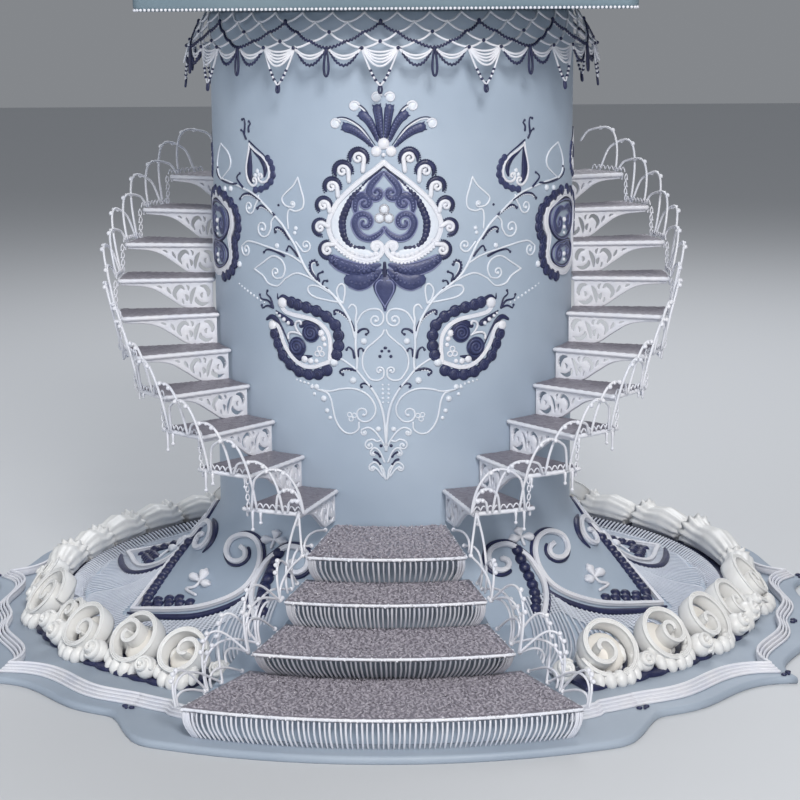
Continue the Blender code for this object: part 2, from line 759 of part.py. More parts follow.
def bend_to_wall(piece, middle_angle, name, material):
    # slice the flat relief in strips and wrap it round the drum
    form = bmesh.new()
    form.from_mesh(piece.data)
    bmesh.ops.dissolve_limit(form, angle_limit=FLAT_ANGLE, verts=form.verts, edges=form.edges)
    reach = max(abs(v.co.x) for v in form.verts)
    cuts = int(2 * reach / RELIEF_STEP) + 1
    for i in range(-cuts, cuts + 1):
        geometry = form.verts[:] + form.edges[:] + form.faces[:]
        bmesh.ops.bisect_plane(form, geom=geometry, dist=WELD,
                               plane_co=(i * RELIEF_STEP, 0.0, 0.0), plane_no=(1.0, 0.0, 0.0))
    for v in form.verts:
        angle = middle_angle + math.degrees(v.co.x / DRUM_RADIUS)
        v.co = around(DRUM_RADIUS + RELIEF_GAP + v.co.z, angle, BASE_TOP + v.co.y)
    form.to_mesh(piece.data)
    form.free()
    return dress(piece, name, material)


def relief(loops, thickness, lift):
    flat = plate(loops, thickness)
    flat.data.transform(Matrix.Translation((0.0, 0.0, lift + thickness / 2)))
    return flat


def backing_loop():
    right = list(PLUME_HALF + CURLED_HALF + PALMETTE_HALF)
    return right + mirrored(right[1:-1])


def heart_loop(shrink=0.0):
    right = [Vector(p) for p in HEART_OUTLINE]
    loop = [Vector((0.0, HEART_TOP))] + right + [Vector((0.0, HEART_CLEFT))]
    loop += [Vector((-p.x, p.y)) for p in reversed(right)]
    middle = Vector(HEART_MIDDLE)
    return [tuple(p - (p - middle).normalized() * shrink) for p in loop]


def make_medallion(middle_angle, word, navy, white):
    backing = relief([backing_loop()], BACKING_RELIEF, 0.0)
    bend_to_wall(backing, middle_angle, "medallion_" + word, navy)
    band = relief([heart_loop(), heart_loop(HEART_BAND)], BAND_RELIEF, BACKING_RELIEF + GAP)
    bend_to_wall(band, middle_angle, "heart_band_" + word, white)


def paisley_loop(middle, size, tilt, side):
    # a round body drawn out to one curved tip
    loop = []
    turn = math.radians(tilt)
    for i in range(PAISLEY_POINTS):
        t = 2 * math.pi * i / PAISLEY_POINTS
        pull = max(math.cos(t), 0.0) ** 3
        x = size[0] * (math.cos(t) + 0.25 * pull)
        y = size[1] * (math.sin(t) - 0.45 * pull)
        loop.append((side * (middle[0] + x * math.cos(turn) - y * math.sin(turn)),
                     middle[1] + x * math.sin(turn) + y * math.cos(turn)))
    return loop if side > 0 else list(reversed(loop))


def make_paisley(middle, size, tilt, side, middle_angle, name, navy):
    body = relief([paisley_loop(middle, size, tilt, side)], PAISLEY_RELIEF, 0.0)
    bend_to_wall(body, middle_angle, name, navy)


def small_heart_loop(side):
    x0, y0 = SMALL_HEART_MIDDLE
    w, h = SMALL_HEART_SIZE
    shape = ((0.0, 1.0), (0.42, 0.45), (0.92, -0.15), (0.95, -0.62), (0.55, -0.95),
             (0.0, -0.72))
    right = [(x * w, y * h) for x, y in shape]
    loop = right + mirrored(right[1:-1])
    return [(side * x0 + x, y0 + y) for x, y in loop]


def make_small_heart(side, middle_angle, name, navy):
    bend_to_wall(relief([small_heart_loop(side)], SMALL_HEART_RELIEF, 0.0), middle_angle,
                 name, navy)


def make_ornament(navy, white):
    for middle_angle, word in ((ORNAMENT_ANGLE, "front"), (180.0 + ORNAMENT_ANGLE, "back")):
        make_medallion(middle_angle, word, navy, white)
        for side, hand in ((-1, "left"), (1, "right")):
            make_paisley(LOWER_PAISLEY_MIDDLE, LOWER_PAISLEY_SIZE, LOWER_PAISLEY_TILT, side,
                         middle_angle, "paisley_%s_%s" % (word, hand), navy)
            make_small_heart(side, middle_angle, "small_heart_%s_%s" % (word, hand), navy)
    for side, hand in ((-1, "left"), (1, "right")):
        make_paisley(SIDE_PAISLEY_MIDDLE, SIDE_PAISLEY_SIZE, SIDE_PAISLEY_TILT, side,
                     ORNAMENT_ANGLE, "side_paisley_" + hand, navy)


# the whole

def build():
    start()
    wall_blue = finish_material("pale_blue_icing", (0.43, 0.53, 0.62), 0.55)
    navy = finish_material("navy_icing", (0.025, 0.030, 0.115), 0.45)
    white = finish_material("white_piping", (0.72, 0.73, 0.78), 0.50)
    sugar = finish_material("sugared_tread", (0.32, 0.28, 0.29), 0.70)
    ivory = finish_material("ivory_swirls", (0.80, 0.78, 0.72), 0.50)
    make_base(wall_blue)
    make_drum(wall_blue)
    make_slab(wall_blue)
    make_lace(white)
    for side in (-1, 1):
        for k in range(TREAD_COUNT):
            make_step(k, side, sugar)
        make_side_rail(side, white)
        make_front_rail(side, white)
        make_wreath(side, ivory)
    for index in range(len(FRONT_STEPS)):
        make_front_step(index, sugar)
    make_core(wall_blue)
    make_foot_scrolls(white)
    make_wreath_bed(navy)
    make_ornament(navy, white)


build()
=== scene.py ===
# Looks of the castle cake: royal icing lace, piped railings, sugared stairs and a swirl wreath
import math

import bmesh
import bpy
import numpy as np
from mathutils import Matrix, Vector


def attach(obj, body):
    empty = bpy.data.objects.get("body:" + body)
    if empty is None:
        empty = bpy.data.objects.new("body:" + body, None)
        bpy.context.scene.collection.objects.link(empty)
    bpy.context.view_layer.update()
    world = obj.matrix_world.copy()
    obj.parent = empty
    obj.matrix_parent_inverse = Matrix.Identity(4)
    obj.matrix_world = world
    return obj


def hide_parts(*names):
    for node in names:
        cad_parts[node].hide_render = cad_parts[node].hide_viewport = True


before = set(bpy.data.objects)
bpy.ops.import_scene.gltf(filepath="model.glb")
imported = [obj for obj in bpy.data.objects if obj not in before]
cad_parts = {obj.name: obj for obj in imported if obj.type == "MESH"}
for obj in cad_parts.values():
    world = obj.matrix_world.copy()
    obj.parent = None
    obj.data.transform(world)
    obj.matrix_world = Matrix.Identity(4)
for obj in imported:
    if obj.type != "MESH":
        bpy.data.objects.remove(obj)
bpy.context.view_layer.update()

drumRadius = 0.1016  # an 8 inch drum, in metres
baseTop = 0.004  # top of the iced base
slabUnderside = baseTop + 3.275 * drumRadius
footHeight = 0.50 * drumRadius  # the concave foot: height, reach and curve
footRadius = 1.78 * drumRadius
footPower = 2.4
footEdge = 0.0018
upwards = (0.0, 0.0, 1.0)


# lines and shapes shared by several pieces

def around(radius, angle, height):
    # a point by distance from the drum's axis, degrees from the front and height
    turn = np.radians(angle)
    return np.stack(np.broadcast_arrays(radius * np.sin(turn), -radius * np.cos(turn), height), -1)


def footSurface(radius):
    share = np.clip((footRadius - np.asarray(radius, float)) / (footRadius - drumRadius), 0, 1)
    return baseTop + footEdge + footHeight * share ** footPower


def unit(rows):
    return rows / np.maximum(np.linalg.norm(rows, axis=-1), 1e-12)[..., None]


def smoothLine(knots, steps=6):
    # a Catmull-Rom curve through rows of numbers
    knots = np.asarray(knots, float)
    ends = np.vstack([2 * knots[:1] - knots[1:2], knots, 2 * knots[-1:] - knots[-2:-1]])
    a, b, c, d = ends[:-3, None], ends[1:-2, None], ends[2:-1, None], ends[3:, None]
    t = (np.arange(steps) / steps)[None, :, None]
    line = 0.5 * (2 * b + (c - a) * t + (2 * a - 5 * b + 4 * c - d) * t ** 2
                  + (3 * b - a - 3 * c + d) * t ** 3)
    return np.vstack([line.reshape(-1, knots.shape[1]), knots[-1:]])


def evenly(line, spacing):
    # the same line with points an even distance apart
    line = np.asarray(line, float)
    steps = np.linalg.norm(np.diff(line, axis=0), axis=1)
    along = np.concatenate([[0], np.cumsum(steps)])
    count = max(int(round(along[-1] / spacing)), 1)
    want = np.linspace(0, along[-1], count + 1)
    return np.stack([np.interp(want, along, line[:, k]) for k in range(line.shape[1])], -1)


def spread(sizes, count):
    # a few sizes, spread evenly over a number of points
    return np.interp(np.linspace(0, 1, count), np.linspace(0, 1, len(sizes)), sizes)


def newPile():
    return {"points": [], "fours": [], "threes": [], "count": 0}


def addMesh(pile, points, fours=(), threes=()):
    points = np.asarray(points, float).reshape(-1, 3)
    for kind, faces in (("fours", fours), ("threes", threes)):
        if len(faces):
            pile[kind].append(np.asarray(faces, int) + pile["count"])
    pile["points"].append(points)
    pile["count"] += len(points)


def addSkin(pile, rings, tips=None, inward=False):
    # a skin through rings of points, with a point in the middle of each end
    rows, sides = rings.shape[:2]
    here, k = np.arange(rows - 1)[:, None] * sides, np.arange(sides)[None]
    after, n = here + sides, (k + 1) % sides
    fours = np.stack([here + k, here + n, after + n, after + k], -1).reshape(-1, 4)
    low, high, end = rows * sides, rows * sides + 1, (rows - 1) * sides
    threes = [(low, (j + 1) % sides, j) for j in range(sides)]
    threes += [(high, end + j, end + (j + 1) % sides) for j in range(sides)]
    if inward:
        fours, threes = fours[:, [0, 3, 2, 1]], np.array(threes)[:, [0, 2, 1]]
    if tips is None:
        tips = [rings[0].mean(0), rings[-1].mean(0)]
    addMesh(pile, np.vstack([rings.reshape(-1, 3), tips]), fours, threes)


def tube(line, across, over, radius, sides, squash=1.0):
    # rings of points round a line; across and over are the directions at each point
    turn = np.arange(sides) * 2 * math.pi / sides
    return (line[:, None] + across[:, None] * (radius[:, None] * np.cos(turn))[..., None]
            + over[:, None] * (squash * radius[:, None] * np.sin(turn))[..., None])


domeValues = {"long": 0.75, "wide": 0.62, "tip": 0.25}  # end of a strand, in its radius


def addStrand(pile, line, radius, sides=6, squash=1.0, up=None):
    # piped icing: a round thread along a line, with round ends
    line = np.asarray(line, float)
    radius = np.broadcast_to(np.asarray(radius, float), (len(line),)).copy()
    way = unit(np.gradient(line, axis=0))
    side = np.cross(way[0], (0.31, 0.17, 0.93) if up is None else up)
    if np.linalg.norm(side) < 1e-4:
        side = np.cross(way[0], (1.0, 0.2, 0.1))
    across = []
    for step in way:
        if up is not None:
            fresh = np.cross(step, up)
            if np.linalg.norm(fresh) > 1e-3:
                side = fresh if fresh @ side > 0 else -fresh
        side = side - step * (side @ step)
        side = side / np.linalg.norm(side)
        across.append(side)
    across = np.array(across)
    over = np.cross(way, across)
    # one more ring and a tip at each end close it to a dome
    first, last = way[0] * radius[0], way[-1] * radius[-1]
    long, wide, tip = domeValues["long"], domeValues["wide"], domeValues["tip"]
    line = np.vstack([line[0] - first * long, line, line[-1] + last * long])
    radius = np.concatenate([[radius[0] * wide], radius, [radius[-1] * wide]])
    across = np.vstack([across[:1], across, across[-1:]])
    over = np.vstack([over[:1], over, over[-1:]])
    addSkin(pile, tube(line, across, over, radius, sides, squash),
            [line[0] - first * tip, line[-1] + last * tip])


def takePoints(form):
    points = np.array([v.co[:] for v in form.verts])
    threes = np.array([[v.index for v in f.verts] for f in form.faces])
    form.free()
    return points, threes


def ballShape(level):
    form = bmesh.new()
    bmesh.ops.create_icosphere(form, subdivisions=level, radius=1.0)
    return takePoints(form)


tinyBall, smallBall, largeBall = ballShape(1), ballShape(2), ballShape(3)


def addBead(pile, place, radius, stretch=(1.0, 1.0, 1.0), shape=smallBall):
    points, threes = shape
    addMesh(pile, np.asarray(place) + points * radius * np.asarray(stretch), (), threes)


def addForms(pile, shape, places):
    # many copies of one shape, given each copy's points
    points, threes = shape
    starts = (np.arange(len(places)) * len(points))[:, None, None]
    addMesh(pile, places, (), (threes[None] + starts).reshape(-1, 3))


def addBeads(pile, places, radius, shape=smallBall):
    places = np.asarray(places, float).reshape(-1, 1, 3)
    sizes = np.broadcast_to(np.asarray(radius, float).reshape(-1, 1, 1), (len(places), 1, 1))
    addForms(pile, shape, places + shape[0][None] * sizes)


def toScene(name, data):
    thing = bpy.data.objects.new(name, data)
    bpy.context.scene.collection.objects.link(thing)
    return thing


def makePiece(name, pile, finish, replaced=(), sharp=None):
    material, slot = finishes[finish]
    points = np.vstack(pile["points"])
    fours = np.vstack(pile["fours"]) if pile["fours"] else np.zeros((0, 4), int)
    threes = np.vstack(pile["threes"]) if pile["threes"] else np.zeros((0, 3), int)
    mesh = bpy.data.meshes.new(name)
    mesh.vertices.add(len(points))
    mesh.vertices.foreach_set("co", points.astype(np.float32).ravel())
    mesh.loops.add(4 * len(fours) + 3 * len(threes))
    mesh.loops.foreach_set("vertex_index", np.concatenate([fours.ravel(), threes.ravel()]))
    mesh.polygons.add(len(fours) + len(threes))
    starts = np.concatenate([np.arange(len(fours)) * 4,
                             4 * len(fours) + np.arange(len(threes)) * 3])
    mesh.polygons.foreach_set("loop_start", starts)
    mesh.update(calc_edges=True)
    mesh.validate()
    mesh.shade_smooth()
    if sharp:
        mesh.set_sharp_from_angle(angle=math.radians(sharp))
    mesh.materials.append(material)
    piece = toScene(name, mesh)
    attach(piece, "root")
    if replaced:
        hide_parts(*replaced)
    print("%s: %d triangles" % (name, 2 * len(fours) + len(threes)))


def handed(name):
    return [name + "_left", name + "_right"]


# finishes

finishValues = {
    # for each slot its finishes: colour and second shade as a screen shows them, size of the
    # clouds of the second shade, roughness, size and depth of the grain, bump; for the sugar
    # grains also how soft the clouds are and a clear coat
    "pale_blue_icing": {
        "wallIcing": ((157, 171, 188), (171, 184, 199), 0.075, 0.48, 0.004, 0.00025, 0.12),
        "baseIcing": ((150, 162, 177), (164, 175, 188), 0.09, 0.5, 0.003, 0.00025, 0.15),
        # the slab is the wall's own icing, painted darker here: painted shade on its sides
        "shadedSlabIcing": ((112, 130, 140), (98, 116, 128), 0.12, 0.5, 0.004, 0.00025, 0.12),
    },
    "white_piping": {
        "collarPiping": ((210, 215, 225), (198, 203, 215), 0.01, 0.45, 0.001, 0.0001, 0.2),
        "vinePiping": ((224, 228, 235), (213, 219, 229), 0.012, 0.42, 0.0012, 0.00015, 0.3),
        "whitePiping": ((228, 228, 233), (219, 221, 230), 0.012, 0.42, 0.0008, 0.0001, 0.25),
    },
    "navy_icing": {
        "navyPiping": ((31, 35, 68), (42, 47, 86), 0.006, 0.38, 0.0009, 0.0003, 0.6),
        "indigoPiping": ((52, 58, 96), (66, 73, 112), 0.004, 0.42, 0.0009, 0.0003, 0.6),
        "lilacPiping": ((132, 137, 172), (112, 117, 156), 0.004, 0.42, 0.0009, 0.0001, 0.3),
    },
    "sugared_tread": {
        "sugarCrust": ((141, 136, 146), (122, 117, 127), 0.003, 0.34, 0.0007, 0.0004, 0.7),
        "sugarGrains": ((176, 171, 180), (144, 139, 149), 0.0022, 0.22, 0.0009, 0.0002, 0.4,
                        0.12, 0.3),
    },
    "ivory_swirls": {
        "ivorySwirls": ((236, 236, 235), (229, 228, 226), 0.012, 0.38, 0.0012, 0.00015, 0.3),
        "warmHollow": ((230, 226, 219), (236, 232, 226), 0.01, 0.5, 0.0012, 0.00015, 0.3),
    },
}
glossChange = 0.06
coatRoughness = 0.30


def shade(red, green, blue):
    # a colour as a screen shows it, 0 to 255, in the shader's own scale
    levels = [c / 255 for c in (red, green, blue)]
    return (*(c / 12.92 if c < 0.04 else ((c + 0.055) / 1.055) ** 2.4 for c in levels), 1)


def newMaterial(name):
    material = bpy.data.materials.new(name)
    material.use_nodes = True
    return material, material.node_tree, material.node_tree.nodes["Principled BSDF"]


def icing(name, colour, cloud, cloudSize, rough, grainSize, grainDepth, bump, soft=0.18,
          coat=0):
    # two close shades in soft clouds, with a fine grain that catches the light
    material, tree, shader = newMaterial(name)

    def add(kind, **settings):
        node = tree.nodes.new("ShaderNode" + kind)
        for socket, value in settings.items():
            node.inputs[socket.replace("_", " ")].default_value = value
        return node

    place = add("TexCoord").outputs["Object"]
    clouds = add("TexNoise", Scale=1 / cloudSize, Detail=3.0)
    ramp = add("MapRange", From_Min=0.5 - soft, From_Max=0.5 + soft)
    tint = tree.nodes.new("ShaderNodeMix")
    tint.data_type = "RGBA"
    tint.inputs["A"].default_value = shade(*colour)
    tint.inputs["B"].default_value = shade(*cloud)
    grain = add("TexNoise", Scale=1 / grainSize, Detail=2.0)
    gloss = add("MapRange", To_Min=rough - glossChange, To_Max=rough + glossChange)
    dimple = add("Bump", Strength=bump, Distance=grainDepth)
    for start, end in (
            (place, clouds.inputs["Vector"]), (place, grain.inputs["Vector"]),
            (clouds.outputs["Fac"], ramp.inputs["Value"]),
            (ramp.outputs["Result"], tint.inputs["Factor"]),
            (tint.outputs["Result"], shader.inputs["Base Color"]),
            (grain.outputs["Fac"], gloss.inputs["Value"]),
            (gloss.outputs["Result"], shader.inputs["Roughness"]),
            (grain.outputs["Fac"], dimple.inputs["Height"]),
            (dimple.outputs["Normal"], shader.inputs["Normal"])):
        tree.links.new(start, end)
    shader.inputs["Coat Weight"].default_value = coat
    shader.inputs["Coat Roughness"].default_value = coatRoughness
    return material


finishes = {name: (icing(name, *look), slot) for slot, looks in finishValues.items()
            for name, look in looks.items()}


# camera, light and floor

viewValues = {
    "lens": 93.2, "distance": 11.6, "height": 3.3,  # in drum radii, above the base's top
    "bearing": 1.5, "tiltDown": 10.8, "turn": 1.344, "roll": -0.4,  # degrees
}


def makeCamera(values):
    camera = toScene("camera", bpy.data.cameras.new("camera"))
    camera.data.lens = values["lens"]
    camera.data.clip_start = 0.01
    place = around(values["distance"] * drumRadius, values["bearing"],
                   baseTop + values["height"] * drumRadius)
    turns = ((values["turn"], "Z"), (90 - values["tiltDown"], "X"), (values["roll"], "Z"))
    look = Matrix.Translation(place)
    for turn, axis in turns:
        look = look @ Matrix.Rotation(math.radians(turn), 4, axis)
    camera.matrix_world = look
    bpy.context.scene.camera = camera


lightValues = {
    # name: place, what it points at, size, watts, colour
    "keyFront": ((0.30, -1.5, 1.15), (0.0, 0.0, 0.18), 0.45, 21, (1.0, 0.985, 0.965)),
    "lowFront": ((0.25, -1.7, 0.34), (0.0, 0.0, 0.34), 0.8, 3, (0.97, 0.98, 1.0)),
    "fillLeft": ((-1.3, -0.9, 0.6), (0.0, 0.0, 0.15), 1.2, 6, (0.90, 0.95, 1.0)),
    "topBack": ((0.2, 1.0, 1.3), (0.0, 0.0, 0.10), 0.9, 12, (0.95, 0.97, 1.0)),
}
skyValues = {"strength": 0.27, "colour": (0.86, 0.90, 0.96, 1)}


def makeLights(values, sky):
    for name, (place, aim, size, watts, colour) in values.items():
        lamp = toScene(name, bpy.data.lights.new(name, "AREA"))
        lamp.data.size = size
        lamp.data.energy = watts
        lamp.data.color = colour
        lamp.location = place
        lamp.rotation_euler = (Vector(aim) - Vector(place)).to_track_quat("-Z", "Y").to_euler()
    world = bpy.data.worlds.new("studio")
    world.use_nodes = True
    background = world.node_tree.nodes["Background"]
    background.inputs["Color"].default_value = sky["colour"]
    background.inputs["Strength"].default_value = sky["strength"]
    bpy.context.scene.world = world
    bpy.context.scene.view_settings.view_transform = "Standard"


floorValues = {"side": 12.0, "colour": (206, 208, 211), "roughness": 0.7}


def makeFloor(values):
    half = values["side"] / 2
    mesh = bpy.data.meshes.new("floor")
    mesh.from_pydata([(-half, -half, 0), (half, -half, 0), (half, half, 0), (-half, half, 0)],
                     [], [(0, 1, 2, 3)])
    floor = toScene("floor", mesh)
    paper, _, shader = newMaterial("palePaper")
    shader.inputs["Base Color"].default_value = shade(*values["colour"])
    shader.inputs["Roughness"].default_value = values["roughness"]
    mesh.materials.append(paper)


makeCamera(viewValues)
makeLights(lightValues, skyValues)
makeFloor(floorValues)
print("camera, light and floor are set")


# drum, top slab and iced base

drumValues = {
    "sides": 160, "wallRows": 40, "footRows": 26, "topEdge": 0.001, "sunk": 0.0003,
    # slow waves of the icing: turns round the drum, their start, waves up it and their start
    "uneven": 0.00010, "waves": ((3, 0, 31, 0), (7, 40, 47, 1)),
}


def makeDrum(values):
    top, foot = slabUnderside - values["sunk"], baseTop + values["sunk"]
    wall = np.linspace(top - values["topEdge"], baseTop + footEdge + footHeight,
                       values["wallRows"])
    slope = np.linspace(drumRadius, footRadius, values["footRows"])[1:]
    heights = np.concatenate([[top], wall, footSurface(slope), [foot]])
    radii = np.concatenate([[drumRadius - values["topEdge"]], np.full(len(wall), drumRadius),
                            slope, [footRadius]])
    turn = np.arange(values["sides"]) * 360.0 / values["sides"]
    wave = sum(np.sin(np.radians(turns * turn + start))[None]
               * np.sin(heights * rise + shift)[:, None]
               for turns, start, rise, shift in values["waves"])
    rings = around(radii[:, None] - np.abs(values["uneven"] * wave), turn[None],
                   heights[:, None])
    pile = newPile()
    addSkin(pile, rings, [(0, 0, top), (0, 0, foot)], inward=True)
    makePiece("cakeDrum", pile, "wallIcing", ["cake_drum"], sharp=50)


slabValues = {
    "side": 0.254, "height": 0.018, "rounding": 0.0028, "corner": 0.006, "cornerSteps": 7,
    "bead": 0.0009, "beadPitch": 0.0021, "beadInset": 0.0006, "beadLift": 0.0008,
}


def roundedSquare(half, height, values):
    corner = values["corner"]
    turns = np.radians(np.linspace(0, 90, values["cornerSteps"] + 1))
    arc = half - corner + corner * np.stack([np.cos(turns), np.sin(turns)], -1)
    line = np.vstack([arc, arc[:, ::-1] * (-1, 1), -arc, arc[:, ::-1] * (1, -1)])
    return np.column_stack([line, np.full(len(line), height)])


def makeSlab(values):
    half, tall, soft = values["side"] / 2, values["height"], values["rounding"]
    bend = np.radians(np.linspace(0, 90, 6))
    reach, rise = half - soft * (1 - np.sin(bend)), soft * (1 - np.cos(bend))
    rows = list(zip(reach, rise)) + list(zip(reach, tall - rise))[::-1]
    rings = np.array([roundedSquare(r, slabUnderside + h, values) for r, h in rows])
    pile, edge = newPile(), newPile()
    addSkin(pile, rings, [(0, 0, slabUnderside), (0, 0, slabUnderside + tall)])
    # the slab's finish is the wall icing painted darker, a painted shade
    makePiece("topSlab", pile, "shadedSlabIcing", ["top_slab"])
    rim = roundedSquare(half - values["beadInset"], slabUnderside + values["beadLift"], values)
    rim = evenly(np.vstack([rim, rim[:1]]), values["beadPitch"])[:-1]
    addBeads(edge, rim, values["bead"], tinyBall)
    makePiece("slabPicots", edge, "whitePiping")


baseValues = {
    "shift": 0.31 * drumRadius, "radius": 2.18, "point": 0.18, "pointAngle": 2.7, "lobe": 0.04,
    "margin": 0.10, "backReach": 0.30, "backAngle": 100.0,  # lengths in drum radii
    "corners": (0.0, 56.25, 101.25, 146.25, 180.0), "notches": (33.75, 78.75, 123.75, 165.0),
    "apron": 2.81, "apronAngle": 25.0, "apronFade": 11.0, "steps": 480,
    # the rounded edge, from below: inset and height
    "edge": ((0.0006, 0.0), (0.0, 0.0006), (0.0, 0.0022), (0.0003, 0.0032), (0.0011, 0.0038),
             (0.0022, baseTop)),
}


def fromFront(angle):
    return abs((angle + 180.0) % 360.0 - 180.0)


def borderRadius(angle, values=baseValues):
    # the bracket outline, in metres from the base's own middle
    angle = fromFront(angle)
    corner, notch = (min(values[kind], key=lambda place: abs(place - angle))
                     for kind in ("corners", "notches"))
    t = min(abs(angle - corner) / abs(corner - notch), 1.0)
    point = values["point"] * math.exp(-abs(angle - corner) / values["pointAngle"])
    lobe = values["lobe"] * math.sin(math.pi * t ** 1.7) ** 2
    behind = max(angle - values["backAngle"], 0.0) / (180.0 - values["backAngle"])
    reach = values["backReach"] * math.sin(math.pi / 2 * behind)
    return (values["radius"] + point + lobe + reach) * drumRadius


def baseEdge(angle, values=baseValues):
    # the border's outline and its margin, with a tongue under the front stair
    edge = borderRadius(angle) + values["margin"] * drumRadius
    turn, shift = math.radians(angle), values["shift"]
    apron = (math.sqrt((values["apron"] * drumRadius) ** 2 - (shift * math.sin(turn)) ** 2)
             - shift * math.cos(turn))
    share = (values["apronAngle"] - fromFront(angle)) / values["apronFade"] + 1
    share = min(max(share, 0.0), 1.0)
    share = share * share * (3 - 2 * share)
    return max(edge, edge + (apron - edge) * share)


def fromBaseMiddle(radius, angle, height, values=baseValues):
    return around(radius, angle, height) - (0.0, values["shift"], 0.0)


def makeBase(values):
    turns = np.arange(values["steps"]) * 360.0 / values["steps"]
    rim = np.array([baseEdge(turn) for turn in turns])
    rings = [fromBaseMiddle(rim - inset, turns, height) for inset, height in values["edge"]]
    pile = newPile()
    addSkin(pile, np.array(rings), [(0, -values["shift"], 0), (0, -values["shift"], baseTop)])
    makePiece("icedBase", pile, "baseIcing", ["iced_base"])


makeDrum(drumValues)
makeSlab(slabValues)
makeBase(baseValues)
print("drum, slab and base are made")


# side stairs

sideStairValues = {
    "treads": 10, "firstAngle": 16.0, "pitch": 10.9, "spread": 0.055, "span": 12.8,
    "firstHeight": 0.795, "rise": 0.169, "outer": 1.545,  # in drum radii
    "thickness": 0.0025, "edge": 0.00125, "bracket": 0.0018, "setback": 1.1,
    "sugarDepth": 0.0005, "sugarGrid": 0.0011, "peg": 0.0010, "pegLength": 0.0028,
    "offWall": 0.0003, "inset": 0.0010, "turnIn": 0.2,  # the last in degrees
}


def treadHeight(k, values=sideStairValues):
    return baseTop + (values["firstHeight"] + values["rise"] * k) * drumRadius


def treadAngle(k, values=sideStairValues):
    return values["firstAngle"] + values["pitch"] * k + values["spread"] * k * k


def roughTop(pile, grid, depth, seed):
    # a grid of rows of points, raised unevenly like a crust of sugar
    rough = np.random.default_rng(seed)
    grid = grid.copy()
    grid[1:-1, 1:-1, 2] += rough.random(grid[1:-1, 1:-1, 2].shape) * depth
    rows, columns = grid.shape[:2]
    k = np.arange(rows - 1)[:, None] * columns + np.arange(columns - 1)[None]
    fours = np.stack([k, k + 1, k + columns + 1, k + columns], -1).reshape(-1, 4)
    addMesh(pile, grid.reshape(-1, 3), fours)


def makeTreads(values):
    tops, edges = newPile(), newPile()
    inner, outer = drumRadius + values["offWall"], values["outer"] * drumRadius
    inset, turnIn, edge = values["inset"], values["turnIn"], values["edge"]
    for side in (-1, 1):
        for k in range(values["treads"]):
            first, last = treadAngle(k), treadAngle(k) + values["span"]
            height = treadHeight(k)
            low = height - values["thickness"]
            middle = low + values["thickness"] / 2
            across = max(int((outer - inner) / values["sugarGrid"]), 8)
            deep = max(int(math.radians(values["span"]) * outer * 0.85 / values["sugarGrid"]), 8)
            radii = np.linspace(inner + 0.0004, outer - inset, across + 1)
            turns = np.linspace(first + 0.45, last, deep + 1)
            turns = (turns if side > 0 else -turns[::-1])[:, None]
            roughTop(tops, around(radii[None], turns, height - 0.0001), values["sugarDepth"],
                     31 * k + 7 * side + 50)
            roughTop(edges, around(radii[None, ::-1], turns, low + 0.0002), 0.0, 1)
            front = around(np.linspace(inner + inset, outer - inset * 1.2, 9),
                           side * (first + 0.35), middle)
            rim = around(outer - inset, side * np.linspace(first + 0.6, last - turnIn, 7), middle)
            line = evenly(np.vstack([front, rim]), 0.0018)
            uneven = 1 + 0.10 * np.sin(np.arange(len(line)) * 2.1 + k)
            addStrand(edges, line, edge * uneven, 8)
            back = around(np.array((inner + inset, outer - inset * 1.2)),
                          side * (last - turnIn), middle)
            addStrand(edges, evenly(back, 0.004), edge * 0.9)
            wall = around(inner + 0.0009, side * np.linspace(first + 0.3, last - turnIn, 5), middle)
            addStrand(edges, wall, edge * 0.85)
            peg = around(outer * 0.985 - 0.0005, side * (last - 0.5), low + 0.0004)
            drop = peg - np.outer((0, 0.5, 1), upwards) * values["pegLength"]
            addStrand(edges, drop, values["peg"] * np.array([0.9, 0.8, 0.85]))
    nodes = ["step_%s_%02d" % (hand, k + 1) for hand in ("left", "right")
             for k in range(values["treads"])]
    makePiece("treadTops", tops, "sugarCrust", nodes)
    makePiece("treadEdges", edges, "whitePiping")


bracketValues = {
    # outline from the wall outwards: share of the length, share of the drop
    "outline": ((0.03, 0), (1, 0), (1, 0.05), (0.9, 0.07), (0.8, 0.09), (0.71, 0.15), (0.62, 0.28),
        (0.54, 0.47), (0.47, 0.64), (0.41, 0.8), (0.355, 0.93), (0.3, 1), (0.03, 1)),
    # leaf-shaped holes: the points along each one's middle, then its width
    "leaves": ((((0.405, 0.7), (0.436, 0.46), (0.412, 0.25), (0.365, 0.16), (0.325, 0.3)), 0.058),
        (((0.322, 0.46), (0.3, 0.6), (0.304, 0.76)), 0.044), (((0.262, 0.88), (0.256, 0.6),
        (0.236, 0.36), (0.205, 0.18)), 0.052), (((0.165, 0.14), (0.105, 0.18), (0.072, 0.38),
        (0.08, 0.6)), 0.056), (((0.205, 0.56), (0.2, 0.74), (0.14, 0.88), (0.072, 0.8)), 0.052),
        (((0.515, 0.15), (0.498, 0.3), (0.47, 0.46)), 0.038), (((0.352, 0.62), (0.346, 0.76),
        (0.335, 0.88)), 0.028), (((0.13, 0.4), (0.15, 0.5), (0.14, 0.64)), 0.034), (((0.625, 0.12),
        (0.585, 0.16), (0.565, 0.24)), 0.032), (((0.31, 0.09), (0.285, 0.2), (0.29, 0.34)),
        0.034)),
    # round knobs on the face: place and size
    "knobs": ((0.372, 0.42, 0.0017), (0.352, 0.56, 0.0013), (0.178, 0.36, 0.0016),
        (0.196, 0.52, 0.0012), (0.11, 0.62, 0.0014), (0.48, 0.5, 0.001), (0.27, 0.1, 0.0011)),
    "rim": 0.00024, "bead": 0.00055, "edge": 0.00065,
}


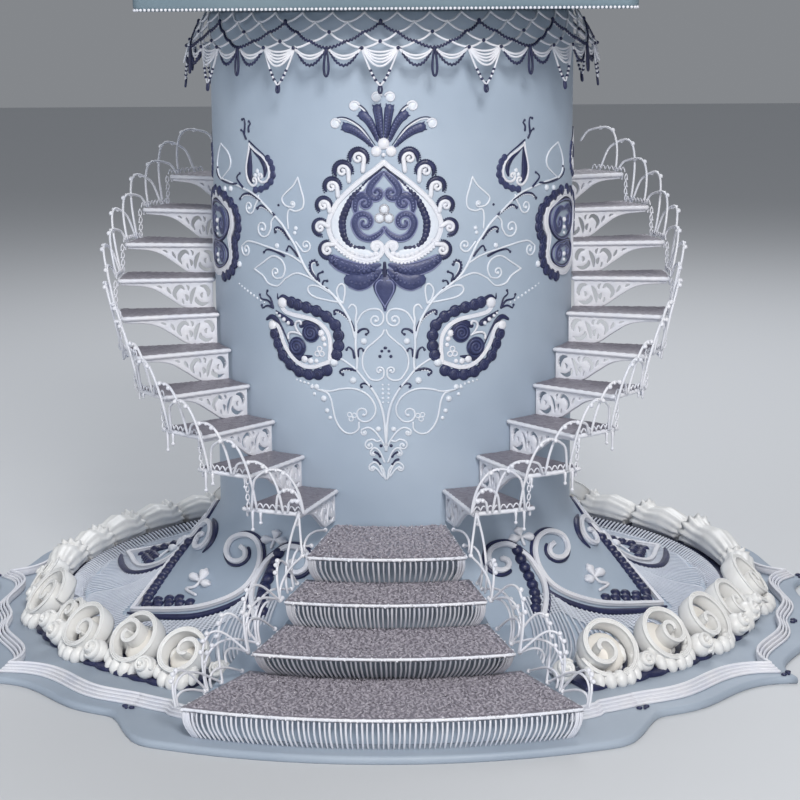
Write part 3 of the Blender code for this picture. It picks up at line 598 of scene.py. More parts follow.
def leafHole(spine, width, tall):
    # a bent leaf along its middle line: thick halfway, narrow at both ends
    line = smoothLine([(u, v * tall) for u, v in spine], 4)
    way = unit(np.gradient(line, axis=0))
    swell = width / 2 * np.sin(math.pi * np.linspace(0.03, 0.97, len(line))) ** 0.6
    aside = np.stack([-way[:, 1], way[:, 0]], 1) * swell[:, None]
    return np.vstack([line + aside, (line - aside)[::-1]])


def flatPlate(loops, thickness, bevel):
    # a plate with rounded edges; every loop after the first is a hole
    curve = bpy.data.curves.new("plate", "CURVE")
    curve.dimensions = "2D"
    curve.fill_mode = "BOTH"
    curve.extrude = thickness / 2 - bevel
    curve.bevel_depth = bevel
    curve.bevel_resolution = 1
    for loop in loops:
        spline = curve.splines.new("POLY")
        spline.points.add(len(loop) - 1)
        spline.use_cyclic_u = True
        for knot, (u, v) in zip(spline.points, loop):
            knot.co = (u, v, 0.0, 1.0)
    shape = bpy.data.objects.new("plate", curve)
    mesh = bpy.data.meshes.new_from_object(shape)
    form = bmesh.new()
    form.from_mesh(mesh)
    bmesh.ops.remove_doubles(form, verts=form.verts, dist=0.00001)
    bmesh.ops.triangulate(form, faces=form.faces)
    bmesh.ops.recalc_face_normals(form, faces=form.faces)
    bpy.data.objects.remove(shape)
    bpy.data.curves.remove(curve)
    bpy.data.meshes.remove(mesh)
    return takePoints(form)


def makeBrackets(values, stair):
    inner = drumRadius + stair["offWall"]
    length = stair["outer"] * drumRadius - inner - 0.002
    drop = stair["rise"] * drumRadius - stair["thickness"] - 0.0003
    size = np.array((length, -drop))
    lower = smoothLine(values["outline"][2:-1], 3)
    outline = np.vstack([values["outline"][:2], lower, values["outline"][-1:]])
    holes = [leafHole(*leaf, drop / length) * (length, -length) for leaf in values["leaves"]]
    points, threes = flatPlate([outline * size] + holes, stair["bracket"], values["rim"])
    panels, trim = newPile(), newPile()
    for side in (-1, 1):
        for k in range(stair["treads"]):
            turn = math.radians(side * (treadAngle(k) + stair["setback"]))
            out = np.array((math.sin(turn), -math.cos(turn), 0.0))
            along = np.cross(out, upwards)
            top = treadHeight(k) - stair["thickness"] - 0.0002
            face = -side * stair["bracket"] * 0.5

            def place(flat, away):
                return (out * (inner + flat[..., :1]) + along * away
                        + np.array(upwards) * (top + flat[..., 1:]))
            addMesh(panels, place(points[:, :2], points[:, 2:]), (), threes)
            for u, v, knob in values["knobs"]:
                addBead(trim, place((u, v) * size, face), knob)
            beads = np.stack([np.full(9, 0.0026), -drop * np.linspace(0.06, 0.94, 9)], -1)
            addBeads(trim, place(beads, face), values["bead"], tinyBall)
            addStrand(trim, place(lower[:-1] * size, face * 0.6), values["edge"])
    makePiece("bracketPanels", panels, "whitePiping", sharp=40)
    makePiece("bracketTrim", trim, "whitePiping")


makeTreads(sideStairValues)
makeBrackets(bracketValues, sideStairValues)
print("side stairs are made")


# side railings

sideRailValues = {
    "outer": 1.556, "strand": 0.00072, "ball": 0.00135, "lean": 0.0044,
    # arches: first foot and span in treads, top over the lower tread in drum radii
    "arches": ((0.85, 0.95, 0.355), (0.35, 0.95, 0.253)),
    "lowArches": ((-0.03, 0.98, 0.227), (-0.02, 0.5, 0.125), (-0.02, 0.28, 0.07)),
    "profile": ((0, 0), (0.04, 0.38), (0.12, 0.68), (0.25, 0.91), (0.42, 1), (0.6, 0.955),
        (0.76, 0.83), (0.89, 0.62), (1, 0)),
    "curl": 0.0004, "fence": 0.0024, "humps": 8, "loops": 4, "loopWide": 0.001,
    # balls: the point on an arch, the size; icicles: the place along a tread, the size
    "balls": ((13, 1), (16, 0.62), (20, 0.92)),
    "icicles": ((0.96, 1), (0.80, 0.55), (0.10, 0.45)),
}


def besideStairs(side, s, height, out=0.0):
    turn = side * treadAngle(np.asarray(s, float))
    return around(sideRailValues["outer"] * drumRadius + out, turn, height)


def sideArch(side, start, span, top, values):
    # one arch, leaning outwards, from its lower foot to its foot further up
    low, high = treadHeight(math.floor(start + 0.05)), treadHeight(math.floor(start + span + 0.02))
    share, rise = np.array(values["profile"]).T
    chord = low + (high - low) * share
    crown = low + top * drumRadius
    foot = np.where(np.arange(len(share)) <= np.argmax(rise), low, high)
    height = foot + (crown - foot) * rise
    out = values["lean"] * np.clip(height - chord, 0, None) / (0.2 * drumRadius)
    return smoothLine(besideStairs(side, start + span * share, height, out), 4)


def makeSideRails(values):
    rails, curls = newPile(), newPile()
    stair = sideStairValues
    for side in (-1, 1):
        for k in range(stair["treads"]):
            arches = values["arches"] + (values["lowArches"] if k == 0 else ())
            for first, span, top in arches:
                if k + first + span > stair["treads"] + 0.45:
                    continue
                line = sideArch(side, k + first, span, top, values)
                addStrand(rails, line, values["strand"])
                out = line[16] * (1, 1, 0) / np.linalg.norm(line[16][:2])
                for at, size in values["balls"]:
                    addBead(rails, line[at] + out * 0.0008 - (0, 0, 0.0002), values["ball"] * size)
            # a fence of small humps along the tread, then a chain of loops up to the next one
            here, above = treadHeight(k), treadHeight(k + 1)
            t = np.linspace(0, 1, 8 * values["humps"] + 1)
            hump = np.abs(np.sin(math.pi * values["humps"] * t)) ** 0.8
            lift = here + 0.0005 + values["fence"] * hump
            addStrand(curls, besideStairs(side, k + 0.02 + 0.96 * t, lift, -0.0008),
                      values["curl"], 5)
            if k + 1 < stair["treads"]:
                t = np.linspace(0, 1, 8 * values["loops"] + 1)
                chain = besideStairs(side, k + 1.0 + 0.03 * np.sin(3 * t),
                                     here - 0.0008 + (above - here) * t)
                swing = values["loopWide"] * np.sin(math.pi * values["loops"] * t)
                for way in (-1, 1):
                    addStrand(curls, chain + np.outer(way * swing, (0.8, 0.6, 0)),
                              values["curl"], 5)
                lift = here + (above - here) * np.array((0.25, 0.5, 0.75))
                addBeads(curls, besideStairs(side, np.full(3, k + 1.01), lift, 0.0008),
                         0.0006, tinyBall)
            # icicles under the outer corners of the lowest treads
            for s, size in values["icicles"]:
                top = besideStairs(side, k + s, here - stair["thickness"], -0.0012)
                drop = size * (0.0090 if k < 3 else 0.0035)
                addStrand(curls, top - np.outer((0, 0.4, 0.8, 1), upwards) * drop,
                          np.array((0.9, 0.7, 0.5, 0.6)) * 0.001)
                if k < 3:
                    addBead(curls, top - (0, 0, drop), 0.0010)
    makePiece("sideRails", rails, "whitePiping", handed("rail"))
    makePiece("curlyThreads", curls, "whitePiping")


makeSideRails(sideRailValues)
print("side railings are made")


# front stair

frontStairValues = {
    # top to bottom: height, front radius, half widths front and back, back radius,
    # radius of the strings' feet, number of strings
    "steps": ((0.63, 1.75, 0.4, 0.295, 1.105, 1.66, 42), (0.47, 2, 0.496, 0.415, 1.597, 1.92, 52),
        (0.313, 2.35, 0.623, 0.5, 1.857, 2.21, 62), (0.157, 2.75, 0.927, 0.66, 2.147, 2.73, 90)),
    "thickness": 0.0025, "edge": 0.00085, "string": 0.00052, "bow": 0.0012, "wrap": 0.42,
    "narrow": 0.965, "grain": (0.00125, 0.00058), "grainPitch": (0.0024, 0.0019),
    "grid": 0.0022, "crumbPitch": 0.0014,
}


def stepSize(index):
    # all in metres but the last, which is the number of strings
    *lengths, strings = frontStairValues["steps"][index]
    height, *reaches = (drumRadius * length for length in lengths)
    return (baseTop + height, *reaches, strings)


def onStep(index, u, v, inset=0.0):
    # a place on a step's top: u from -1 to 1 across, v from 0 at the back to 1 in front
    height, front, halfFront, halfBack, back = stepSize(index)[:5]
    reachFront = np.degrees(np.arcsin((halfFront - inset) / (front - inset)))
    reachBack = np.degrees(np.arcsin((halfBack - inset) / (back + inset)))
    near = around(front - inset, u * reachFront, height)
    far = around(back + inset, u * reachBack, height)
    return far + (near - far) * np.asarray(v)[..., None]


def stepRim(index, inset, wrap):
    # along the front of a step and back along both its sides
    deep = np.linspace(1 - wrap, 1, 9)
    left = onStep(index, np.full(9, -1.0), deep, inset)[:-1]
    front = onStep(index, np.linspace(-1, 1, 41), np.ones(41), inset)
    right = onStep(index, np.full(9, 1.0), deep[::-1], inset)[1:]
    return np.vstack([left, front, right])


def addGrains(pile, rough, places, lean, values):
    # lengthened little crystals lying about on a surface
    headings = rough.uniform(0, math.pi, len(places))
    tilts = rough.uniform(-lean, lean, len(places))
    long, wide = values["grain"]
    cosine, sine = np.cos(headings)[:, None], np.sin(headings)[:, None]
    x, y, z = (tinyBall[0] * (long, wide, wide)).T[:, None]
    spots = np.stack([cosine * x - sine * y, sine * x + cosine * y,
                      z + np.sin(tilts)[:, None] * x], -1)
    addForms(pile, tinyBall, spots + np.asarray(places)[:, None])


def makeStepTop(index, values):
    height, front, halfFront, _, back = stepSize(index)[:5]
    top = newPile()
    across, deep = (max(int(size / values["grid"]), 6) for size in (2 * halfFront, front - back))
    u, v = np.meshgrid(np.linspace(-1, 1, across + 1), np.linspace(0, 1, deep + 1))
    grid = onStep(index, u, v, 0.0006)
    grid[..., 2] -= 0.0004
    roughTop(top, grid[:, ::-1][::-1], 0.0003, 90 + index)
    grid[..., 2] = height - values["thickness"] + 0.0003
    roughTop(top, grid[:, ::-1], 0.0, 1)
    makePiece("frontStep%d" % (index + 1), top, "sugarCrust", ["front_step_%d" % (index + 1)],
              sharp=25)


def sprinkle(index, rough, values):
    # grains in loose rows over a step's top
    _, front, halfFront, _, back = stepSize(index)[:5]
    longPitch, widePitch = values["grainPitch"]
    columns, rows = int(2 * halfFront / longPitch), max(int((front - back) / widePitch), 6)
    u, v = (cells.ravel() + 0.5 for cells in np.meshgrid(np.arange(columns), np.arange(rows)))
    u = (u + rough.uniform(-0.4, 0.4, u.size)) / columns * 2 - 1
    v = (v + rough.uniform(-0.4, 0.4, v.size)) / rows
    if index > 0:
        # nothing is seen of the strip behind the strings of the step above
        feet = values["steps"][index - 1][5] * drumRadius
        seen = v > (feet - 0.004 - back) / (front - back)
        u, v = u[seen], v[seen]
    places = onStep(index, u * 0.985, v, 0.0016)
    places[:, 2] += rough.uniform(-0.0002, 0.0002, len(places))
    grains = newPile()
    addGrains(grains, rough, places, 0.35, values)
    return grains


def hangStrings(pile, index, values):
    # strings from the front edge to the step below, closer together at the corners
    height, front, halfFront, _, _, feet, count = stepSize(index)
    ground = (stepSize(index + 1)[0] if index < 3 else baseTop) + 0.0004
    hang = evenly(stepRim(index, 0.0016, values["wrap"]), 0.0002)
    last = len(hang) - 1
    tip = onStep(index, np.array(-1.0), np.array(1.0), 0.0016)
    corner = np.linalg.norm(hang - tip, axis=1).argmin()
    bundle = {corner + 5 * k for k in range(-4, 4)}
    picks = set(np.linspace(0, last, count + 8).astype(int))
    t = np.linspace(0, 1, 7)[:, None]
    belly = np.sin(math.pi * t)
    for n, pick in enumerate(sorted(picks | bundle | {last - place for place in bundle})):
        level = hang[pick] * (1, 1, 0)
        head = level + (0, 0, height - values["thickness"] + 0.0004)
        foot = level * (feet / front * values["narrow"], feet / front, 0) + (0, 0, ground)
        out = level / np.linalg.norm(level)
        sway = 0.0012 * level[0] / halfFront + 0.0002 * math.sin(n * 1.7)
        line = (head + (foot - head) * t + out * (values["bow"] * belly)
                + np.cross(upwards, out) * (sway * belly))
        addStrand(pile, line, values["string"] * (1 + 0.15 * math.sin(n * 2.3)))


def makeFrontSteps(values):
    rough = np.random.default_rng(19)
    for index in range(4):
        grains, edge = sprinkle(index, rough, values), newPile()
        makeStepTop(index, values)
        rim = stepRim(index, 0.0009, 1.0)
        rim[:, 2] = stepSize(index)[0] - values["thickness"] / 2
        line = evenly(rim, 0.0016)
        n = np.arange(len(line))
        uneven = 1 + 0.12 * np.sin(n * 1.9 + index) * np.sin(n * 0.7)
        addStrand(edge, line, values["edge"] * uneven, 8)
        crumbs = evenly(rim, values["crumbPitch"])
        crumbs = crumbs + rough.uniform(-0.0005, 0.0005, crumbs.shape)
        addGrains(edge, rough, crumbs, 0.6, values)
        hangStrings(edge, index, values)
        name = "frontStep%d" % (index + 1)
        makePiece(name + "Grains", grains, "sugarGrains", sharp=25)
        makePiece(name + "Strings", edge, "whitePiping")


makeFrontSteps(frontStairValues)
print("front stair is made")


# front railings

frontRailValues = {
    "strand": 0.00064, "bead": 0.00125, "out": 0.0016, "overhang": 0.002,
    "beadsAt": (13, 18, 23), "beadsOver": 0.15,
    # arches: the steps (4 lowest, 1 highest, 0 the side stair) and the place on each edge,
    # 1 in front, where an arch starts and ends, its rise and the lift of its start, in radii
    "arches": ((4, 1, 4, 0.57, 0.155, 0), (4, 0.97, 4, 0.36, 0.128, 0),
        (4, 0.97, 4, 0.6, 0.053, 0), (4, 0.57, 3, 1, 0.235, 0), (4, 0.55, 3, 0.7, 0.165, 0),
        (4, 0.5, 4, 0.05, 0.072, 0), (4, 0.34, 3, 0.72, 0.285, 0), (4, 0.28, 3, 1, 0.055, 0.085),
        (3, 1, 2, 1, 0.25, 0), (3, 0.97, 2, 0.96, 0.165, 0), (3, 0.94, 3, 0.22, 0.08, 0.07),
        (3, 0.72, 2, 0.5, 0.162, 0), (3, 0.66, 2, 0.9, 0.12, 0), (2, 1, 2, 0.24, 0.178, 0),
        (2, 0.95, 1, 1, 0.062, 0), (2, 0.66, 0, 0.06, 0.105, 0), (2, 0.4, 1, 0.7, 0.12, 0),
        (1, 1, 0, 0.06, 0.045, 0), (1, 0.9, 1, 0.2, 0.06, 0)),
    # along an arch: share of the way and share of the rise
    "shape": ((0, 0), (-0.02, 0.3), (-0.015, 0.6), (0.04, 0.84), (0.13, 0.97), (0.25, 1),
        (0.42, 0.89), (0.6, 0.67), (0.8, 0.34), (1, 0)),
}


def railFoot(side, step, v, values):
    # a place on the outer edge of a front step, or beside the lowest side tread
    if step == 0:
        return besideStairs(side, v, treadHeight(0))
    return onStep(step - 1, np.array(float(side)), np.array(v)) + (side * values["out"], 0, 0)


def makeFrontRails(values):
    pile = newPile()
    along, up = np.array(values["shape"]).T[..., None]
    for side in (-1, 1):
        for fromStep, fromPlace, toStep, toPlace, rise, lifted in values["arches"]:
            start = railFoot(side, fromStep, fromPlace, values) + (0, 0, lifted * drumRadius)
            end = railFoot(side, toStep, toPlace, values)
            lean = side * values["overhang"] * min(rise / 0.2, 1.2)
            line = start + (end - start) * along + (lean, 0, rise * drumRadius) * up
            line = smoothLine(line, 5)
            addStrand(pile, line, values["strand"])
            for at in values["beadsAt"] if rise > values["beadsOver"] else ():
                addBead(pile, line[at] + (side * 0.0008, -0.0004, 0.0005), values["bead"])
            addBead(pile, end, values["bead"])
    makePiece("frontRails", pile, "whitePiping", handed("front_rail"))


makeFrontRails(frontRailValues)
print("front railings are made")


# lace skirt

laceValues = {
    # rows of the net from top to bottom: height and radius, in drum radii
    "rows": ((3.266, 1.022), (3.218, 1.05), (3.169, 1.075), (3.123, 1.1), (3.091, 1.12)),
    "repeats": 13, "shift": -1.5, "strand": 0.00062, "navy": 0.0006, "wave": 0.0005,
    "wavePitch": 0.0019, "whiteSags": (3.07, 3.052, 3.036, 3.02, 3), "sideSags": (3.052, 3.036),
    "navySag": 3.004, "loopEnd": 2.95, "pointEnd": 2.895,
    "knot": 0.0009, "dot": 0.0010, "peak": 0.0012, "pointDots": (0.00085, 0.00085, 0.0009),
}


def onSkirt(row, turn, out=0.0):
    heights, radii = np.array(laceValues["rows"]).T
    level = np.arange(len(heights))
    return around(np.interp(row, level, radii) * drumRadius + out, turn,
                  baseTop + np.interp(row, level, heights) * drumRadius)


def netSwag(row, first, last):
    t = np.linspace(0, 1, 11)
    return onSkirt(row + 1 - np.abs(2 * t - 1) ** 1.8, first + (last - first) * t)


def hangingSwag(first, last, sag, bulge):
    # a thread hung below the net's last row
    t = np.linspace(0, 1, 13)
    top, radius = laceValues["rows"][-1]
    height = sag + (top - sag) * (2 * t - 1) ** 2
    out = bulge * np.sin(math.pi * t)
    return around(radius * drumRadius + out, first + (last - first) * t,
                  baseTop + height * drumRadius)


def addWavy(pile, line, values):
    line = evenly(line, values["wavePitch"] / 4)
    line[:, 2] += np.array([0, 1, 0, -1])[np.arange(len(line)) % 4] * values["wave"]
    addStrand(pile, line, values["navy"], 5)


def makeLace(values):
    white, navy, dots = newPile(), newPile(), newPile()
    cell = 360.0 / values["repeats"] / 3
    top, radius = values["rows"][-1]
    t = np.linspace(0, 1, 9)
    for middle in values["shift"] + 3 * cell * np.arange(values["repeats"]):
        for node in middle + cell * np.arange(-1, 2):
            for row in range(4):
                first = node - 0.5 * cell if row % 2 == 0 else node
                addStrand(white, netSwag(row, first, first + cell), values["strand"])
            for row in (1, 2, 3):
                turn = node + 0.5 * cell if row == 2 else node
                addBead(white, onSkirt(row, turn, 0.0002), values["knot"])
        # the navy zigzag follows the swags down from its peak and up again
        for hand in (-1, 1):
            for row in (1, 2, 3):
                turns = middle + hand * cell * ((row - 1) * 0.5 + 0.5 * t)
                addWavy(navy, onSkirt(row + 1 - np.abs(1 - t) ** 1.8, turns, 0.0008), values)
            addWavy(navy, hangingSwag(middle + hand * 0.55 * cell, middle + hand * 1.47 * cell,
                                      values["navySag"], 0.0016), values)
            edge = middle + hand * 0.5 * cell
            for sag in values["sideSags"]:
                line = hangingSwag(edge, middle + hand * 1.5 * cell, sag, 0.0010)
                addStrand(white, line, values["strand"])
            # the long point with its dots
            height = top + (values["pointEnd"] + 0.012 - top) * t
            line = around(radius * drumRadius + 0.0018 * t,
                          middle + hand * cell * (0.5 * (1 - t) ** 0.75 + 0.02),
                          baseTop + height * drumRadius)
            addStrand(white, line, values["strand"] * 0.9)
            addBeads(dots, line[[5, 6, 7]] + (0, 0, 0.0002), np.array(values["pointDots"]))
            addBead(dots, onSkirt(4, edge, 0.0010), values["dot"])
            addBead(white, onSkirt(4, edge), values["peak"])
        for n, sag in enumerate(values["whiteSags"]):
            line = hangingSwag(middle - 0.5 * cell, middle + 0.5 * cell, sag, 0.0004 + 0.0005 * n)
            addStrand(white, line, values["strand"])
        addBead(dots, onSkirt(3, middle, 0.0010), values["dot"])
        addBead(dots, onSkirt(2, middle + 1.5 * cell, 0.0010), values["dot"])
        addBead(dots, onSkirt(1, middle, 0.0008), 0.0011, (1, 1, 1.5))
        # teardrop under the point, and the long loop under the valley
        for place, high, low, wide in (
                (middle, values["pointEnd"] + 0.020, values["pointEnd"] - 0.028, 0.546),
                (middle + 1.5 * cell, top - 0.004, values["loopEnd"], 0.85)):
            swing = 2 * math.pi * np.linspace(0, 1, 25)
            deep = 0.5 - 0.5 * np.cos(swing)
            line = around(radius * drumRadius + 0.0014 + 0.0006 * deep,
                          place + wide * np.sin(swing) * (0.35 + 0.65 * deep),
                          baseTop + (high + (low - high) * deep) * drumRadius)
            addStrand(navy, line, values["navy"] * 1.1)
    makePiece("laceNet", white, "whitePiping", ["lace_skirt"])
    makePiece("laceNavy", navy, "navyPiping")
    makePiece("laceDots", dots, "navyPiping")


makeLace(laceValues)
print("lace skirt is made")


# foot scrolls

footScrollValues = {
    # degrees from the front
    "axis": 2.4,
    # places: degrees from the axis and millimetres down the foot from its top
    "paisley": ((67, 78.4), (62.8, 71), (57, 63.5), (51.8, 57), (47.5, 50), (44, 43), (41.7, 35.5),
        (41, 28), (41.3, 20.5), (43, 13.2), (46.2, 8), (50.6, 6.3), (54.8, 8), (57.8, 12.5),
        (56.8, 18.6), (52.8, 22.6), (49.3, 22.3), (47.6, 19), (48.8, 15.2), (51.5, 13.8)),
    "paisleyBack": ((67, 78.4), (72, 68.5), (77, 58.5), (81, 50.5), (84.5, 43.5), (87.2, 36),
        (88.2, 28), (87.5, 20), (84, 13.8), (79, 11.4), (73.9, 13.2), (70.9, 17.8), (71.2, 23.4),
        (74.4, 26.6), (78.4, 25.6), (80.2, 21.8), (77.8, 18.9)),
    "scroll": ((33.6, 54), (37.2, 43.9), (39.2, 36.2), (39.9, 30.6), (39.7, 24.3), (39.2, 18.4),
        (37.3, 12.9), (34.7, 8.3), (31.7, 7.2), (28.3, 8.3), (26.2, 12.5), (26.1, 18.4),
        (28.2, 21.9), (31, 20.7), (31.8, 17.1), (30.3, 15.2)),
    "under": ((66.8, 81.5), (60.6, 74.6), (55.2, 68.3), (50.1, 62.3), (46, 55.2), (42.5, 47.3),
        (40, 39.8), (39.5, 33)),
    "behind": ((80, 8.6), (73.5, 9.4), (69.2, 13.5), (67.7, 19.5), (69, 26)),
    "patch": ((66.4, 69.5), (64.2, 65), (61.4, 61.2), (58.4, 57.8), (55.6, 54.8), (66.4, 63.5),
        (63.4, 59), (60.4, 55.4)),
    "lumps": ((36.6, 12), (36.4, 18), (36.4, 24.4), (36.3, 30.6), (35.7, 36.6), (34.6, 42.4),
        (33, 48)),
    "flower": ((59.6, 35.4), (62.9, 40.2), (55.6, 40.6)),
    "stalk": ((58.8, 41), (58.9, 45), (61.4, 48.6), (56, 49.2)),
    "topFlower": ((43.3, 6), (40, 1.4), (36.6, 5)), "topStalk": ((40, 5), (39.9, 9.6)),
    "fill": ((86.6, 26), (84.6, 33), (82.2, 40.5), (79, 47.8), (75.6, 55), (71.8, 62.6),
        (68.2, 70)),
    "band": 0.0015, "rim": 0.00045, "navy": (1.6, 4.2, 5, 5, 4.6, 3.6, 2), "bead": 0.0034,
    "petal": 0.0034, "spacing": 45.5, "longer": (1, 1.23, 1.18),
}


def makeFootTable():
    radii = np.linspace(drumRadius, footRadius, 160)
    steps = np.hypot(np.diff(radii), np.diff(footSurface(radii)))
    return np.concatenate([[0.0], np.cumsum(steps)]), radii


footTable = makeFootTable()
flatRadius = 1.12 * drumRadius  # where degrees round the foot are taken as lengths


def onFoot(turn, distance, lift=0.0):
    # a place on the foot's surface, by degrees and distance down the curve from the wall
    distance = np.asarray(distance, float)
    radius = np.interp(distance, *footTable)
    slope = (footSurface(radius + 0.0004) - footSurface(radius)) / 0.0004
    slope = np.where(distance <= 0, -12.0, slope)
    tilt = np.arctan2(-slope, 1.0)
    outside = np.maximum(distance - footTable[0][-1], 0.0)
    height = np.where(outside > 0, baseTop, footSurface(radius) + np.maximum(-distance, 0.0))
    return around(radius + outside + lift * np.sin(tilt), turn, height + lift * np.cos(tilt))


def circle(middle, reach, turns):
    # points round a middle, by distance and angle
    u, v = middle
    return np.stack([u + reach * np.cos(turns), v + reach * np.sin(turns)], -1)


def spiralIn(last, before, eye, turns, tighten=0.82, steps=18):
    # a spiral from the end of a line to its eye
    flat, heading = last - eye, last - before
    spin = 1.0 if flat[0] * heading[1] - flat[1] * heading[0] > 0 else -1.0
    t = np.linspace(0, 1, steps + 1)[1:]
    return circle(eye, np.hypot(*flat) * (1 - tighten * t ** 0.9),
                  math.atan2(flat[1], flat[0]) + spin * 2 * math.pi * turns * t)


def offsetLine(line, away):
    way = unit(np.gradient(line, axis=0))
    return line + np.stack([-way[:, 1], way[:, 0]], -1) * away


def flatFoot(places):
    # degrees and millimetres down to metres round the foot and down it
    return np.asarray(places, float) * (math.radians(flatRadius), 0.001)


def footLine(places, spacing=0.0016):
    return evenly(smoothLine(flatFoot(places), 6), spacing)


def footStrand(pile, line, place, radius, lift, sides=6, squash=1.0):
    # place: which side, how far round and how much longer the ornament is there
    addStrand(pile, spreadFoot(line, place, lift), radius, sides, squash)


def spreadFoot(flat, place, lift):
    side, turned, longer = place
    turn = np.degrees(flat[:, 0] / flatRadius)
    return onFoot(side * (turn + turned) + footScrollValues["axis"], flat[:, 1] * longer, lift)


def footRibbon(pile, line, place, values):
    # a thick white band with a raised rim along each edge
    band = values["band"]
    line = line * (1, place[2])
    place = (*place[:2], 1)
    footStrand(pile, line, place, band, band * 0.8, 8)
    for away in (-0.62, 0.62):
        footStrand(pile, offsetLine(line, away * band), place, values["rim"], band * 1.55, 5)


def footFlower(pile, petals, stalk, place, size):
    # puffy petals, narrow towards the middle of their flower, on a curly stalk
    petals, stalk = (flatFoot(knots) * (1, place[2]) for knots in (petals, stalk))
    place = (*place[:2], 1)
    heart = stalk[0]
    t = np.linspace(0, 1, 9)
    full = np.interp(t, (0, 0.12, 0.3, 0.55, 1), (0.45, 0.85, 1.0, 0.75, 0.25))
    for petal in petals:
        way = (heart - petal) / np.linalg.norm(heart - petal)
        line = petal - way * size * 0.5 + (heart - petal + way * size * 0.2) * t[:, None]
        footStrand(pile, line, place, full * size, size * 0.30, 10, 0.75)
    footStrand(pile, evenly(smoothLine(stalk, 5), 0.0012), place, 0.0009, 0.0008)


def makeFootScrolls(values):
    white, navy = newPile(), newPile()
    paisley, rear, scroll, under, behind, fill, lumps = (footLine(values[name]) for name in (
        "paisley", "paisleyBack", "scroll", "under", "behind", "fill", "lumps"))
    band, bead = values["band"], values["bead"]
    widths = spread(values["navy"], len(under)) / 2000
    swell = np.sin(np.linspace(0.25, math.pi - 0.25, len(behind))) * 0.0021
    inner = offsetLine(paisley[len(paisley) // 2:], -band * 1.3)[:-3]
    patch = flatFoot(values["patch"])
    for side in (-1, 1):
        for row, longer in enumerate(values["longer"]):
            place = (side, values["spacing"] * row, longer)
            footRibbon(white, paisley, place, values)
            footRibbon(white, rear, place, values)
            for line, radius, lift, sides, squash in (
                    (under, widths, 0.0006, 7, 0.8), (behind, swell, 0.0004, 7, 0.8),
                    (fill, 0.0028, 0.0002, 8, 0.6), (inner, 0.0010, 0.0004, 6, 1)):
                footStrand(navy, line, place, radius, lift, sides, squash)
            addBeads(navy, spreadFoot(evenly(fill, 0.0046)[1:-1], place, 0.0004), bead)
            addBeads(navy, spreadFoot(patch, place, -0.0006), bead)
            footFlower(white, values["flower"], values["stalk"], place, values["petal"])
        place = (side, 0.0, 1)
        footRibbon(white, scroll, place, values)
        footStrand(navy, offsetLine(scroll, band * 1.5)[2:-5], place, 0.0012, 0.0004)
        addBeads(navy, spreadFoot(evenly(lumps, 0.0052), place, 0.0004), bead)
        footStrand(navy, offsetLine(lumps, -0.0012), place, 0.0026, 0.0002, 8, 0.6)
        footFlower(white, values["topFlower"], values["topStalk"], place, values["petal"])
    nodes = ["foot_paisley_%s_%d" % (hand, row) for hand in ("left", "right") for row in (1, 2, 3)]
    makePiece("footScrolls", white, "whitePiping", nodes + handed("foot_scroll"))
    makePiece("footNavy", navy, "navyPiping")


makeFootScrolls(footScrollValues)
print("foot scrolls are made")


# fine piped collar round the foot

collarValues = {
    # where the ribs start on the foot, over one paisley: degrees and millimetres down
    "starts": ((40, 40), (42.5, 51.5), (46.3, 59.5), (50.1, 66.5), (55.2, 72.5), (60.6, 79),
        (67, 85.5), (72, 74.5), (77, 64), (81, 55.5), (85.5, 46)),
    "outer": 107.5, "first": 31, "last": 176,
    # by degrees from the axis: spacing, thickness in millimetres, lean of the outer ends in degrees
    "ribs": ((31, 0.92, 0.68, 13), (48, 0.92, 0.66, 12.5), (58, 0.95, 0.56, 8),
        (72, 1.05, 0.44, 3), (90, 1.12, 0.38, 2.5), (180, 1.12, 0.38, 2.5)),
    "cross": 8, "crossPitch": 1.7, "crossStrand": 0.00036, "frill": (83, 176, 0.95),
    # the frill: distance and height along its section
    "frillShape": ((1.795, 0.00000144), (1.822, 0.00207), (1.850, 0.00391), (1.868, 0.0046)),
    "frillStrand": 0.00065, "least": 24,
}


def collarStart(turn, values):
    first, spacing = values["starts"][0][0], footScrollValues["spacing"]
    places = np.array(values["starts"])
    return np.interp(np.where(turn > first, (turn - first) % spacing + first, first), *places.T)


def makeCollar(values):
    pile = newPile()
    t = np.linspace(0, 1, 10)
    table = np.array(values["ribs"]).T
    axis, outer = footScrollValues["axis"], values["outer"]
    for side in (-1, 1):
        turn = values["first"]
        while turn < values["last"]:
            pitch, strand, lean = (np.interp(turn, table[0], row) for row in table[1:])
            start = collarStart(turn, values)
            turns = np.maximum(turn - lean * (outer - start) / 60 * t ** 1.8, values["least"])
            line = onFoot(side * turns + axis, (start + (outer - start) * t) / 1000, 0.0008)
            addStrand(pile, line, strand / 1000, 5)
            turn += pitch
        for ring in range(values["cross"]):
            away = values["crossPitch"] * ring
            turns = np.arange(34.0, 60.0 - ring, 0.8)
            down = collarStart(turns, values) + 1.2 + away
            lean = np.interp(turns, table[0], table[3]) * (away / 60) ** 1.8
            addStrand(pile, onFoot(side * (turns - lean) + axis, down / 1000, 0.0010),
                      values["crossStrand"], 5)
        reach, height = np.array(values["frillShape"]).T
        for turn in np.arange(*values["frill"]):
            line = around(reach * drumRadius, side * turn + axis, baseTop + height)
            addStrand(pile, line, values["frillStrand"])
    makePiece("collar", pile, "collarPiping")


makeCollar(collarValues)
print("collar is made")


# border lines on the base

borderValues = {
    # lines from the outside in: distance, half width and height
    "lines": ((0, 0.00062, 0.0011), (0.0017, 0.00062, 0.0022), (0.0034, 0.00062, 0.0034),
        (0.0052, 0.0008, 0.0048)),
    "stop": 20.5, "bow": 0.0016, "bowAway": 0.0035, "bowKnot": 0.0009,
}


